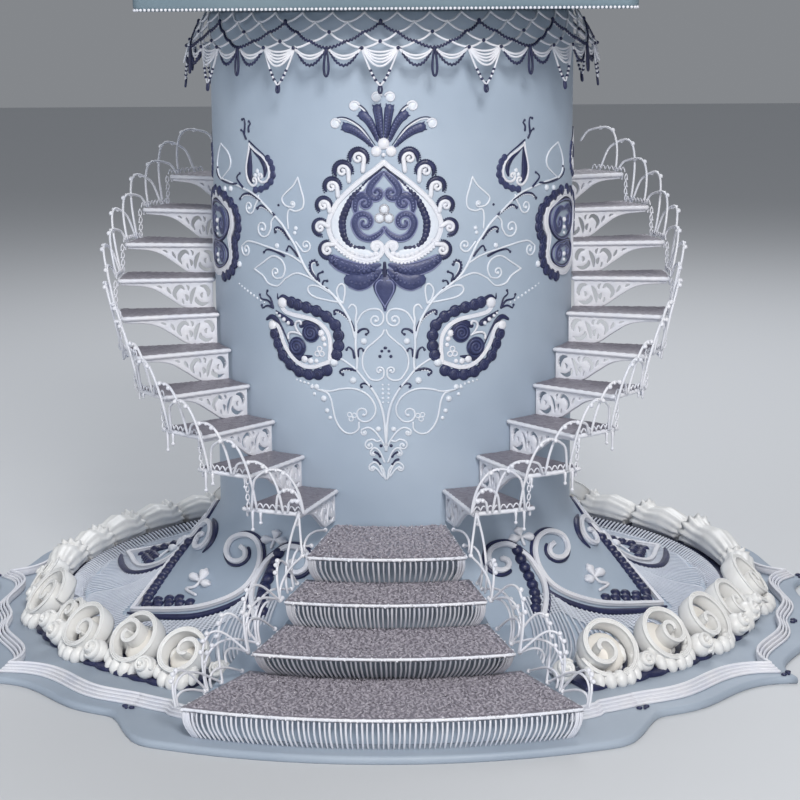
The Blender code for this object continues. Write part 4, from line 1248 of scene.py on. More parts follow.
def makeBorder(values):
    lines, bows = newPile(), newPile()
    points = sorted(baseValues["corners"] + baseValues["notches"])
    for side in (-1, 1):
        for a, b in zip(points[:-1], points[1:]):
            first = max(a, values["stop"])
            if b <= first:
                continue
            turns = np.linspace(first, b, max(int((b - first) / 0.8), 6))
            reach = np.array([borderRadius(turn) for turn in turns])
            for offset, half, high in values["lines"]:
                line = fromBaseMiddle(reach - offset, side * turns, baseTop + high / 2)
                addStrand(lines, line, half, 8, squash=high / 2 / half, up=upwards)
                addStrand(lines, line + (0, 0, high / 2 - half * 0.4), half * 1.12)
        for point in points[1:-1]:
            if point < values["stop"]:
                continue
            reach = borderRadius(point) + values["bowAway"]
            low = baseTop + 0.0006
            for tip in (-0.55, 0.55):
                addBead(bows, fromBaseMiddle(reach, side * (point + tip), low), values["bow"],
                        (1, 1, 0.5))
            addBead(bows, fromBaseMiddle(reach + 0.0016, side * point, low), values["bowKnot"])
    makePiece("borderLines", lines, "whitePiping")
    makePiece("borderBows", bows, "navyPiping")


makeBorder(borderValues)
print("border is made")


# wreath of rolled swirls

wreathValues = {
    "bedInner": 1.862, "bedHeight": 0.0024, "bedFirst": 27,
    # degrees, distance
    "bedOuter": ((27, 2.15), (48, 2.14), (70, 2.1), (90, 2.085), (180, 2.085)),
    # scrolls: degrees, distance in drum radii, then in millimetres the lift and the size,
    # which way they roll, how many turns, the angle of the outer end and the lobes under it
    "scrollsLeft": ((29.6, 2.03, 11.5, 12, 1, 1.5, 200, 5), (39.4, 2, 11.5, 14, -1, 1.75, 335, 6),
        (49.6, 2.045, 11, 13, 1, 1.6, 150, 5), (57.6, 1.98, 9.5, 9, -1, 1.5, 320, 0),
        (68.5, 2, 11.5, 15, 1, 1.7, 190, 4), (81, 1.97, 9.5, 11, -1, 1.4, 330, 0)),
    "scrollsRight": ((32.4, 2.015, 12, 15.5, 1, 1.7, 190, 7),
        (43.4, 2.01, 12, 14.5, -1, 1.75, 5, 7), (54, 2.01, 11.5, 14.5, 1, 1.6, 215, 5),
        (64.8, 1.98, 10.5, 13, -1, 1.5, 320, 4), (76.5, 2, 12, 16, -1, 1.7, 320, 5)),
    "scrollsBack": ((146, 1.985, 10, 13, 1, 1.5, 180, 3), (156.5, 1.985, 9.5, 12, -1, 1.4, 320, 3),
        (174, 1.99, 10, 12.5, 1, 1.5, 190, 3)),
    # small rolled balls: degrees, distance, size in millimetres
    "ballsLeft": ((34.4, 2.125, 6.2), (45, 2.11, 6.6), (44.6, 1.915, 6.2), (55.2, 2.11, 7.2),
        (61, 2.075, 6.8), (62, 1.915, 6.4), (75.6, 2.05, 6.6), (75.4, 1.905, 6), (24.6, 1.98, 6),
        (88, 2.02, 6.4)),
    "ballsRight": ((25.8, 2.01, 6.4), (37.6, 1.895, 5.8), (38, 2.09, 5.6), (48.8, 2.12, 6.8),
        (49.2, 1.895, 6.2), (60.4, 2.105, 6.8), (60.6, 1.905, 6), (66.8, 2.085, 6.8),
        (71.6, 2.06, 6.6), (71.2, 1.91, 6.2), (85, 2.03, 6.4)),
    "ballsBack": ((151.2, 2.055, 6.2), (151.4, 1.91, 6), (163, 2.04, 6.2), (178.5, 1.99, 6.6)),
    # fluted rolls: from and to in degrees, distance, width in millimetres
    "rollsLeft": ((90, 99.5, 1.955, 9.5), (101, 110.5, 1.94, 9), (112, 121.5, 1.955, 9.5),
        (123, 132, 1.97, 9), (133.5, 142, 1.975, 8.6)),
    "rollsRight": ((87, 95, 1.985, 9), (96, 114, 1.985, 9.6), (116, 129, 1.98, 9.4),
        (131, 142, 1.975, 9)),
    "rollsBack": ((160.5, 170.5, 1.96, 9),),
    # a row of little shells: from, to, distance, degrees from one to the next
    "shells": (143, 178, 2.06, 1.45),
    "wall": 0.0012, "wallTall": 4.3, "lip": 0.0005, "open": 0.72,
    "lobe": 0.0035, "extraTurns": 0.30, "reach": (1.08, 0.94, 0.58, 0.14),
    # along a roll: its width and the depth of its flutes
    "rollShape": ((0, 0.55), (0.05, 0.80), (0.16, 0.86), (0.45, 1), (0.8, 0.84), (0.92, 0.96),
        (1, 1.12)),
    "fluteDepth": ((0, 0.10), (0.2, 0.045), (0.5, 0.025), (0.85, 0.06), (1, 0.13)),
    "flutes": 11, "rollSides": 54, "bedScallops": 44,
}


def addEgg(pile, middle, axes, shape=largeBall):
    points, threes = shape
    addMesh(pile, np.asarray(middle) + points @ np.asarray(axes), (), threes)


def wreathFrame(side, turn, radius, lift):
    # a place on the wreath's bed, the way out from the cake and the way along the wreath
    out = around(1.0, side * turn, 0.0)
    floor = baseTop + wreathValues["bedHeight"]
    return (around(radius * drumRadius, side * turn, floor + lift), out,
            np.cross(upwards, out) * side)


def rolled(middle, along, across, reach, turns):
    return (middle + along * (reach * np.cos(turns))[:, None]
            + across * (reach * np.sin(turns))[:, None])


def addScroll(pile, cores, side, turn, radius, lift, size, spin, turns, start, lobes, values):
    # a wide ribbon rolled up, its face leaning outwards, over a warmer hollow
    size, first, turns = size / 1000, math.radians(start), turns + values["extraTurns"]
    middle, out, along = wreathFrame(side, turn, radius, lift / 1000)
    axis = out * 0.74 + np.array((0, 0, 0.67))
    across = np.cross(axis, along)
    outwards = along * math.cos(first) + across * math.sin(first)
    t = np.linspace(0, 1, 66)
    outer = values["open"] / turns
    reach = size * np.interp(t, (0, outer, min(outer + 0.16, 0.9), 1), values["reach"])
    slip = np.clip((t - outer * 0.8) / (0.35 * (1 - outer * 0.8)), 0, 1) * size * 0.26
    line = rolled(middle, along, across, reach, first + spin * 2 * math.pi * turns * t)
    line = line + outwards * slip[:, None] + axis * (0.0026 * t)[:, None]
    wall = values["wall"] * np.interp(t, (0, 0.10, 0.6, 1), (0.60, 1.0, 1.0, 0.80))
    tall = values["wallTall"]
    addStrand(pile, line, wall, 10, squash=tall, up=axis)
    rim = line + axis * (wall * tall * 0.90)[:, None]
    inward = middle - line
    inward -= axis * (inward @ axis)[:, None]
    inward /= np.linalg.norm(inward, axis=1)[:, None]
    for away in (-0.80, 0.80):
        addStrand(pile, rim + inward * (away * wall)[:, None], values["lip"], 5)
    addEgg(cores, middle - axis * 0.0034 - outwards * size * 0.12,
           (along * size * 0.72, across * size * 0.72, axis * 0.0032))
    # the curved back that carries the roll, ridged like a shell
    for k in range(-3, 4):
        ridge = middle - axis * 0.0050 + along * (k * size * 0.25) - across * (0.06 * size)
        long = size * (0.84 - 0.05 * k * k)
        addEgg(pile, ridge, (along * size * 0.18, across * long, axis * 0.0040), smallBall)
    # fat lobes that fan out from under its outer rim
    lower = -across if across[2] > 0 else across
    down = out * 0.60 - np.array((0, 0, 0.80))
    for k in range(lobes):
        bearing = (k - (lobes - 1) / 2) * 1.75 * values["lobe"] / size
        radial = along * math.sin(bearing) + lower * math.cos(bearing)
        lobe = middle + radial * size * 1.02 + down * 0.0028 + out * 0.0014
        lobe[2] = max(lobe[2], baseTop + 0.0034)
        fan = unit(radial * 0.6 + down * 0.8)
        tangent = np.cross(axis, radial)
        addEgg(pile, lobe, (tangent * values["lobe"], fan * 0.0048,
                            np.cross(tangent, fan) * 0.0036))


def addRolledBall(pile, side, turn, radius, size):
    size = size / 1000
    middle, out, along = wreathFrame(side, turn, radius, size * 0.80)
    axis = out * 0.80 + np.array((0, 0, 0.60))
    across = np.cross(axis, along)
    t = np.linspace(0, 1, 36)
    line = rolled(middle, along, across, size * (0.80 - 0.66 * t), turn + 2 * math.pi * 1.6 * t)
    line = line + axis * (size * (0.28 + 0.42 * np.sin(t * math.pi * 0.5)))[:, None]
    addStrand(pile, line, size * 0.15, 8, squash=2.2, up=axis)
    axes = np.array((along * 0.95, across * 0.95, axis * 0.80))
    addEgg(pile, middle - axis * size * 0.12, axes * size)


def addFlutedRoll(pile, side, first, last, radius, width, start, values):
    width = width / 1000
    t = np.linspace(0, 1, 21)
    swell = width * np.interp(t, *np.array(values["rollShape"]).T)
    line = around(radius * drumRadius, side * (first + (last - first) * t),
                  baseTop + 0.0024 + swell * 0.9)
    way = unit(np.gradient(line, axis=0))
    across = np.cross(way, upwards)
    over = np.cross(across, way)
    sides = values["rollSides"]
    flute = np.arange(sides) * 2 * math.pi / sides
    depth = np.interp(t, *np.array(values["fluteDepth"]).T)[:, None]
    wave = np.cos(values["flutes"] * flute + start + 1.6 * t[:, None])
    size = swell[:, None] * (1 + depth * wave)
    rings = (line[:, None] + across[:, None] * (size * np.cos(flute))[..., None]
             + over[:, None] * (size * np.sin(flute))[..., None])
    front = line[0] + (rings[0] - line[0]) * 0.50 + way[0] * width * 0.4
    hollow = line[-1] + (rings[-1] - line[-1]) * 0.50 - way[-1] * width * 0.6
    addSkin(pile, np.concatenate([front[None], rings, hollow[None]]))


def makeWreathBed(values):
    bed, scallopCount = newPile(), values["bedScallops"]
    low, high = baseTop + 0.0002, baseTop + values["bedHeight"]
    turns = np.linspace(values["bedFirst"], 180.0, 6 * scallopCount + 1)
    bump = 0.0016 * np.abs(np.sin(np.linspace(0, math.pi * scallopCount, len(turns))))
    inner = np.full(len(turns), values["bedInner"] * drumRadius)
    outer = np.interp(turns, *np.array(values["bedOuter"]).T) * drumRadius + bump
    rows = ((inner, low), (inner, high - 0.0004), (inner + 0.0006, high), (outer - 0.0010, high),
            (outer, high - 0.0008), (outer, low))
    for side in (-1, 1):
        rings = np.stack([around(reach, side * turns, height) for reach, height in rows], 1)
        addSkin(bed, rings if side > 0 else rings[:, ::-1])
    makePiece("wreathBed", bed, "navyPiping", ["wreath_bed"], sharp=50)


def makeWreath(values):
    makeWreathBed(values)
    cores = newPile()
    for side, hand in ((-1, "left"), (1, "right")):
        pile = newPile()
        for part in (hand.capitalize(), "Back"):
            for scroll in values["scrolls" + part]:
                addScroll(pile, cores, side, *scroll, values)
            for ball in values["balls" + part]:
                addRolledBall(pile, side, *ball)
            for n, roll in enumerate(values["rolls" + part]):
                addFlutedRoll(pile, side, *roll, n * 1.3, values)
        first, last, radius, pitch = values["shells"]
        for turn in np.arange(first, last, pitch):
            middle, out, along = wreathFrame(side, turn, radius, 0.0014)
            addEgg(pile, middle, (along * 0.0030, out * 0.0042, (0, 0, 0.0036)), smallBall)
        makePiece("wreath" + hand.capitalize(), pile, "ivorySwirls", ["wreath_" + hand])
    makePiece("wreathHollows", cores, "warmHollow")


makeWreath(wreathValues)
print("wreath is made")


# wall ornament: drawn flat in millimetres left of the axis, mirrored, then bent round the drum

ornamentValues = {
    "axis": -1.1,  # degrees from the front
    "spacing": 0.9, "spiral": 1.25,
    # widths along each kind of line
    "vine": (1.5, 1.5, 1.3, 1.0), "branch": (1.1, 1.1, 1.0), "leaf": (1.1, 1.1, 1.0),
    "hook": (1.4, 1.1, 0.8),
}
frontAndBack = (0.0, 180.0)
onlyOnce = (0.0,)


def drawLine(knots, eye=None, turns=None):
    # a smooth line, rolled up round its eye when it has one
    line = smoothLine(knots, 6)
    if eye:
        turns = turns or ornamentValues["spiral"]
        line = np.vstack([line, spiralIn(line[-1], line[-2], eye, turns)])
    return evenly(line, ornamentValues["spacing"])


def pipe(pile, line, widths, tall=0.85, lift=0.0, sides=6):
    # a thread of icing on the flat wall; the widths are spread evenly along it
    half = spread(widths, len(line)) / 2000
    line = np.column_stack([line / 1000, half * tall * 0.3 + lift / 1000])
    addStrand(pile, line, half, sides, tall, upwards)


def pipeAll(pile, lines, widths, tall=0.85, lift=0.0, sides=6):
    for knots in lines:
        pipe(pile, drawLine(knots), widths, tall, lift, sides)


def pipeEdges(pile, line, widths, share, edge, lift):
    # a fine thread along each edge of a band
    half = spread(widths, len(line))[:, None] * share
    for away in (-1, 1):
        pipe(pile, line + (offsetLine(line, away) - line) * half, edge, 0.9, lift, 5)


def dab(pile, u, v, size, tall=0.6, lift=0.0, shape=smallBall):
    addBead(pile, np.array((u, v, lift)) / 1000, size / 1000, (1, 1, tall), shape)


def dabs(pile, places, tall=0.6, lift=0.0, shape=smallBall):
    for u, v, size in places:
        dab(pile, u, v, size, tall, lift, shape)


def dotLine(pile, line, size, pitch, tall=0.6, lift=0.0, shape=smallBall):
    for u, v in evenly(line, pitch):
        dab(pile, u, v, size, tall, lift, shape)


def knobLine(pile, line, widths, tall=0.5):
    # a row of overlapping lumps, each as wide as the line is there
    places = evenly(line, 2.3)
    dabs(pile, np.column_stack([places, spread(widths, len(places)) / 2]), tall)


def ribbon(pile, line, width, rim):
    # a raised band with a fine rope along each edge
    pipe(pile, line, (width,), 0.42)
    for away in (-0.5, 0.5):
        pipe(pile, offsetLine(line, away * (width - rim)), (rim,), 0.9, width * 0.17, 5)


def rosette(ground, threads, u, v, size):
    # a flat dome with a thread rolled up on it
    dab(ground, u, v, size, 0.26, 0.0, largeBall)
    turn = np.linspace(0, 2 * math.pi * 2.3, 34)
    roll = circle((u, v), size * (0.86 - 0.80 * turn / turn[-1]), turn)
    pipe(threads, roll, (size * 0.27, size * 0.30, size * 0.22), 0.8, size * 0.17)
    pipe(threads, circle((u, v), size, np.linspace(0, 2 * math.pi, 25)), (size * 0.14,), 0.9,
         size * 0.06)


def clover(pile, u, v, size, width, heading=90.0):
    # three small rings of thread
    for turn in np.radians((heading, heading + 125, heading - 125)):
        middle = circle((u, v), size, turn)
        ring = circle(middle, size * 0.78, turn + np.linspace(1, 3, 15) * math.pi)
        pipe(pile, ring, (width,))


def scallops(ground, trim, places, size):
    # shell lobes side by side, each with two fine curved ridges
    for n, (u, v) in enumerate(places):
        dab(ground, u, v, size, 0.42, 0.0, largeBall)
        before, after = places[max(n - 1, 0)], places[min(n + 1, len(places) - 1)]
        way = math.atan2(after[1] - before[1], after[0] - before[0])
        for share in (0.45, 0.78):
            ridge = circle((u, v), size * share, np.linspace(-0.4, math.pi + 0.4, 9) + way)
            pipe(trim, ridge, (size * 0.13,), 0.9, size * 0.40 * math.sqrt(1 - share ** 2), 5)
    pipe(ground, evenly(smoothLine(places, 4), 1.4), (size * 1.3,), 0.4)


def onWall(points, turned):
    # bends flat shapes round the drum, and out over its foot below
    share = np.clip((points[:, 1] - footEdge) / footHeight, 0, 1) ** (1 / footPower)
    reach = footRadius - (footRadius - drumRadius) * share + points[:, 2]
    turn = ornamentValues["axis"] + turned + np.degrees(points[:, 0] / drumRadius)
    return around(reach, turn, baseTop + points[:, 1])


def placeOrnament(name, pile, finish, replaced=(), turns=frontAndBack):
    # the drawing and its mirror image, at each of the turns round the drum
    whole = newPile()
    for turned in turns:
        for half in (1, -1):
            start = whole["count"]
            whole["points"] += [onWall(points * (half, 1, 1), turned) for points in pile["points"]]
            for kind in ("fours", "threes"):
                whole[kind] += [faces[:, ::half] + start for faces in pile[kind]]
            whole["count"] += pile["count"]
    makePiece(name, whole, finish, replaced)


def placeAll(name, pieces, turns=frontAndBack):
    for ending, pile, finish, replaced in pieces:
        placeOrnament(name + ending, pile, finish, replaced, turns)


medallionLines = {
    "heart": ((0, 255.4), (-4.7, 251.5), (-11.9, 246.1), (-19, 240), (-24.6, 234.2),
        (-28.1, 228.4), (-29.7, 223.5), (-29.1, 218.1), (-26.3, 213), (-21.6, 209), (-16, 205.8),
        (-9.3, 204.2), (-3.8, 205.7), (-1.3, 208.7), (-1.3, 211.7), (-3.2, 213.5), (-5.5, 213.2)),
    "heartEye": (-4.4, 211.4),
    "groundWidths": (1.0, 3.4, 4.8, 5.0, 4.8, 4.6, 4.4),
    "inside": ((-0.4, 252.6), (-3, 250.4), (-8.4, 245.9), (-13.2, 240.8), (-16.3, 237.4),
        (-19, 233.4), (-20.9, 229.2), (-22.3, 224.9), (-22.2, 220.7), (-21.5, 216.5), (-19.4, 213),
        (-16, 210.9), (-11.1, 210.6)),
    "insideWidths": (1.2, 1.3, 1.6, 2.2, 3.6, 4.2, 4.4, 4.4, 4.2, 3.6, 2.6, 2.2),
    # wide indigo commas: their line and their eye
    "commas": ((((-0.2, 250.1), (-3.2, 247.4), (-6.2, 244.1), (-7.9, 240.8)), (-3.9, 239.6)),
        (((-14.1, 227.8), (-15.2, 231.7), (-14.4, 235.9), (-11.9, 238)), (-10.3, 234.4)),
        (((0.1, 221.4), (-2.6, 218.1), (-7.4, 215.6), (-12, 216.8), (-14.7, 220.3), (-15.6, 223.9),
        (-14.4, 227.2)), (-10.4, 224))),
    "commaWidths": (1.6, 3.266667, 3.733333, 3.9, 3.4, 2.8, 1.8),
    "clover": (0, 228, 2.9),
    "topBalls": ((0, 264.9, 3.1), (-3.9, 260.9, 2.8)),
    "feathers": (((-0.9, 266.4), (-1.8, 272.3), (-2.4, 278.2), (-3.4, 284.6)), ((-3, 266.1),
        (-5.2, 272), (-8.2, 277.3), (-12.2, 280.6)), ((-5.7, 263.3), (-10.3, 268.1),
        (-15.5, 271.7), (-21.4, 273.8))),
    "featherWidths": (1.4, 2.8, 3.6, 4.2, 4.6, 5.0),
    "tips": ((-3.6, 288.6), (-15.2, 284), (-25.4, 274.9)),
    "arcs": (((-4.4, 264.1), (-10.3, 272.2), (-15.5, 276.3), (-20.3, 278.3), (-24.5, 278),
        (-26.6, 275.6)), ((-5.2, 273.4), (-8.2, 280.8), (-11.5, 284.3), (-15.7, 285.8),
        (-17.6, 283.8))),
    # curls outside the heart: middle, where the stalk starts, size
    "curls": ((-13.3, 257.3, -10.9, 250.9, 5), (-21.7, 250.6, -18.3, 245.6, 5),
        (-27.6, 242.3, -24.3, 237.6, 4.6), (-32.4, 232.4, -28.9, 229.5, 4.3),
        (-34.4, 220.9, -29.9, 221.7, 4.3), (-30.5, 209.2, -27.1, 212.4, 4.5)),
    "petals": ((((-2.6, 201.8), (-9.3, 199.6), (-17.3, 199.8), (-23.8, 201.9), (-28.4, 204.6)),
        (2, 5, 6.4, 7.2, 6.8, 4.8)), (((-2, 199), (-7.5, 194.8), (-12.7, 192.6), (-18.2, 193.6)),
        (2, 5.2, 7.6, 8.8, 7.4))),
    "drop": ((0.4, 195), (0.4, 177.4)), "dropWidths": (5, 10.4, 11.4, 10.6, 8.6, 6, 3.4, 1.4, 0.6),
    "dropEdge": ((0.2, 192.6), (-2.2, 194), (-4.4, 192), (-4.6, 188.6), (-3, 184.8), (0.2, 179.6)),
}


def drawHeart(values, white, navy, indigo, lilac, pale):
    knots = values["heart"]
    ground = offsetLine(drawLine(knots[1:12]), 3.4)
    pipe(pale, ground, values["groundWidths"], 0.20, 0.0, 8)
    ribbon(white, drawLine(knots, values["heartEye"], 0.8), 2.7, 0.6)
    pipe(white, offsetLine(drawLine(knots[:12]), 2.1), (0.35,), 0.9)
    low = drawLine(knots[8:13])
    dotLine(white, offsetLine(low, -1.5), 0.85, 1.9, 0.8, 0.3)
    dotLine(white, offsetLine(low, 2.3), 1.5, 2.6, 0.45)
    inside, widths = drawLine(values["inside"]), np.array(values["insideWidths"])
    knobLine(navy, inside, widths)
    pipe(navy, inside, widths * 0.75, 0.42)
    for knots, eye in values["commas"]:
        line = drawLine(knots, eye, 1.0)
        widths = values["commaWidths"]
        pipe(indigo, line, widths, 0.40, 0.0, 8)
        pipeEdges(lilac, line, widths, 0.48, (0.8,), 0.25)
        dotLine(lilac, line[4:-6], 0.42, 1.5, 0.7, 0.75, tinyBall)
    u, v, size = values["clover"]
    clover(white, u, v, size, 1.1)
    for place in circle((u, v), size, np.radians((90, 215, -35))):
        dab(pale, *place, 2.2, 0.35)
    dabs(white, values["topBalls"], 0.62, 0.0, largeBall)
    dab(white, 0.0, 259.2, 1.1, 0.9, 1.4)


def drawFeathers(values, white, navy, indigo, lilac, pale):
    for knots in values["feathers"]:
        line = drawLine(knots)[:-2]
        pipe(indigo, line, values["featherWidths"], 0.36, 0.0, 8)
        dotLine(navy, offsetLine(line, 0.6)[2:-1], 0.62, 1.6, 0.8, 0.65)
        dotLine(lilac, offsetLine(line, -0.8)[3:-1], 0.40, 1.6, 0.8, 0.75, tinyBall)
        way = line[-1] - line[-2]
        for lean in (-0.75, 0.75):
            c, s = math.cos(lean), math.sin(lean)
            tip = line[-1] + 3.4 * np.array((way[0] * c - way[1] * s, way[0] * s + way[1] * c))
            pipe(indigo, evenly([line[-1] - way, tip], 0.6), (3.0, 2.2, 0.5), 0.36)
    bearing = np.linspace(0.4, 9.0, 22)
    for place in values["tips"]:
        dab(pale, *place, 2.6, 0.36)
        pipe(white, circle(place, 3.0 - 0.28 * bearing, bearing), (1.2, 0.9, 0.8), 0.9, 0.3, 5)
    for knots in values["arcs"]:
        line = drawLine(knots)
        pipe(navy, line, (0.45, 0.6, 0.6, 0.4))
        pipe(white, offsetLine(line, 0.9)[2:-2], (0.5, 0.9, 0.9, 0.5))


def drawCurls(values, white, navy):
    # curls round the heart, each with a navy shadow and a beaded edge
    for u, v, u0, v0, size in values["curls"]:
        stalk = math.atan2(v0 - v, u0 - u)
        turns = stalk + 0.75 + np.linspace(0, 2 * math.pi * 1.25, 30)
        roll = circle((u, v), size * np.linspace(0.66, 0.12, 30), turns)
        line = evenly(np.vstack([smoothLine([(u0, v0), roll[0]], 4)[:-1], roll]), 0.9)
        pipe(white, line, (2.7, 2.5, 1.9, 1.8, 1.9), 0.75, 0.3)
        turns = np.linspace(stalk + 0.35, stalk + 4.7, 22)
        pipe(navy, circle((u, v), size * 0.88, turns), (1.0, 2.6, 3.1, 3.0, 2.7, 1.2), 0.45)
        pipe(navy, circle((u, v), size * 0.35, turns), (1.6,), 0.30)
        dotLine(navy, circle((u, v), size * 1.16, turns[2:]), 0.5, 1.15, 0.8, 0.0, tinyBall)


def drawPetals(values, navy, indigo, lilac):
    for knots, widths in values["petals"]:
        line = drawLine(knots)
        pipe(indigo, line, widths, 0.26, 0.0, 10)
        pipeEdges(lilac, line, widths, 0.49, (0.5, 0.9, 0.9), 0.1)
        dotLine(indigo, offsetLine(line, 0.9)[4:-1], 1.25, 2.5, 0.7, 0.9)
        for n, place in enumerate(evenly(offsetLine(line, -1.0)[5:-1], 2.6)):
            curl = circle(place, 0.95, np.linspace(0.5, 5.0, 9) + n)
            pipe(lilac, curl, (0.5, 0.4), 0.9, 0.8, 5)
    pipe(indigo, drawLine(values["drop"]), values["dropWidths"], 0.24, 0.0, 12)
    pipe(lilac, drawLine(values["dropEdge"]), (0.8,), 0.9, 0.9)
    pipe(navy, evenly([(0.2, 195.5), (0.2, 203.0)], 1.0), (2.4, 1.2), 0.5)


def makeMedallion(values):
    white, navy, indigo, lilac, pale = (newPile() for _ in range(5))
    drawHeart(values, white, navy, indigo, lilac, pale)
    drawFeathers(values, white, navy, indigo, lilac, pale)
    drawCurls(values, white, navy)
    drawPetals(values, navy, indigo, lilac)
    placeAll("", (
        ("heartBands", white, "whitePiping", ("heart_band_front", "heart_band_back")),
        ("medallions", navy, "navyPiping", ("medallion_front", "medallion_back")),
        ("medallionCommas", indigo, "indigoPiping", ()),
        ("medallionRims", lilac, "lilacPiping", ()),
        ("medallionFills", pale, "vinePiping", ())))


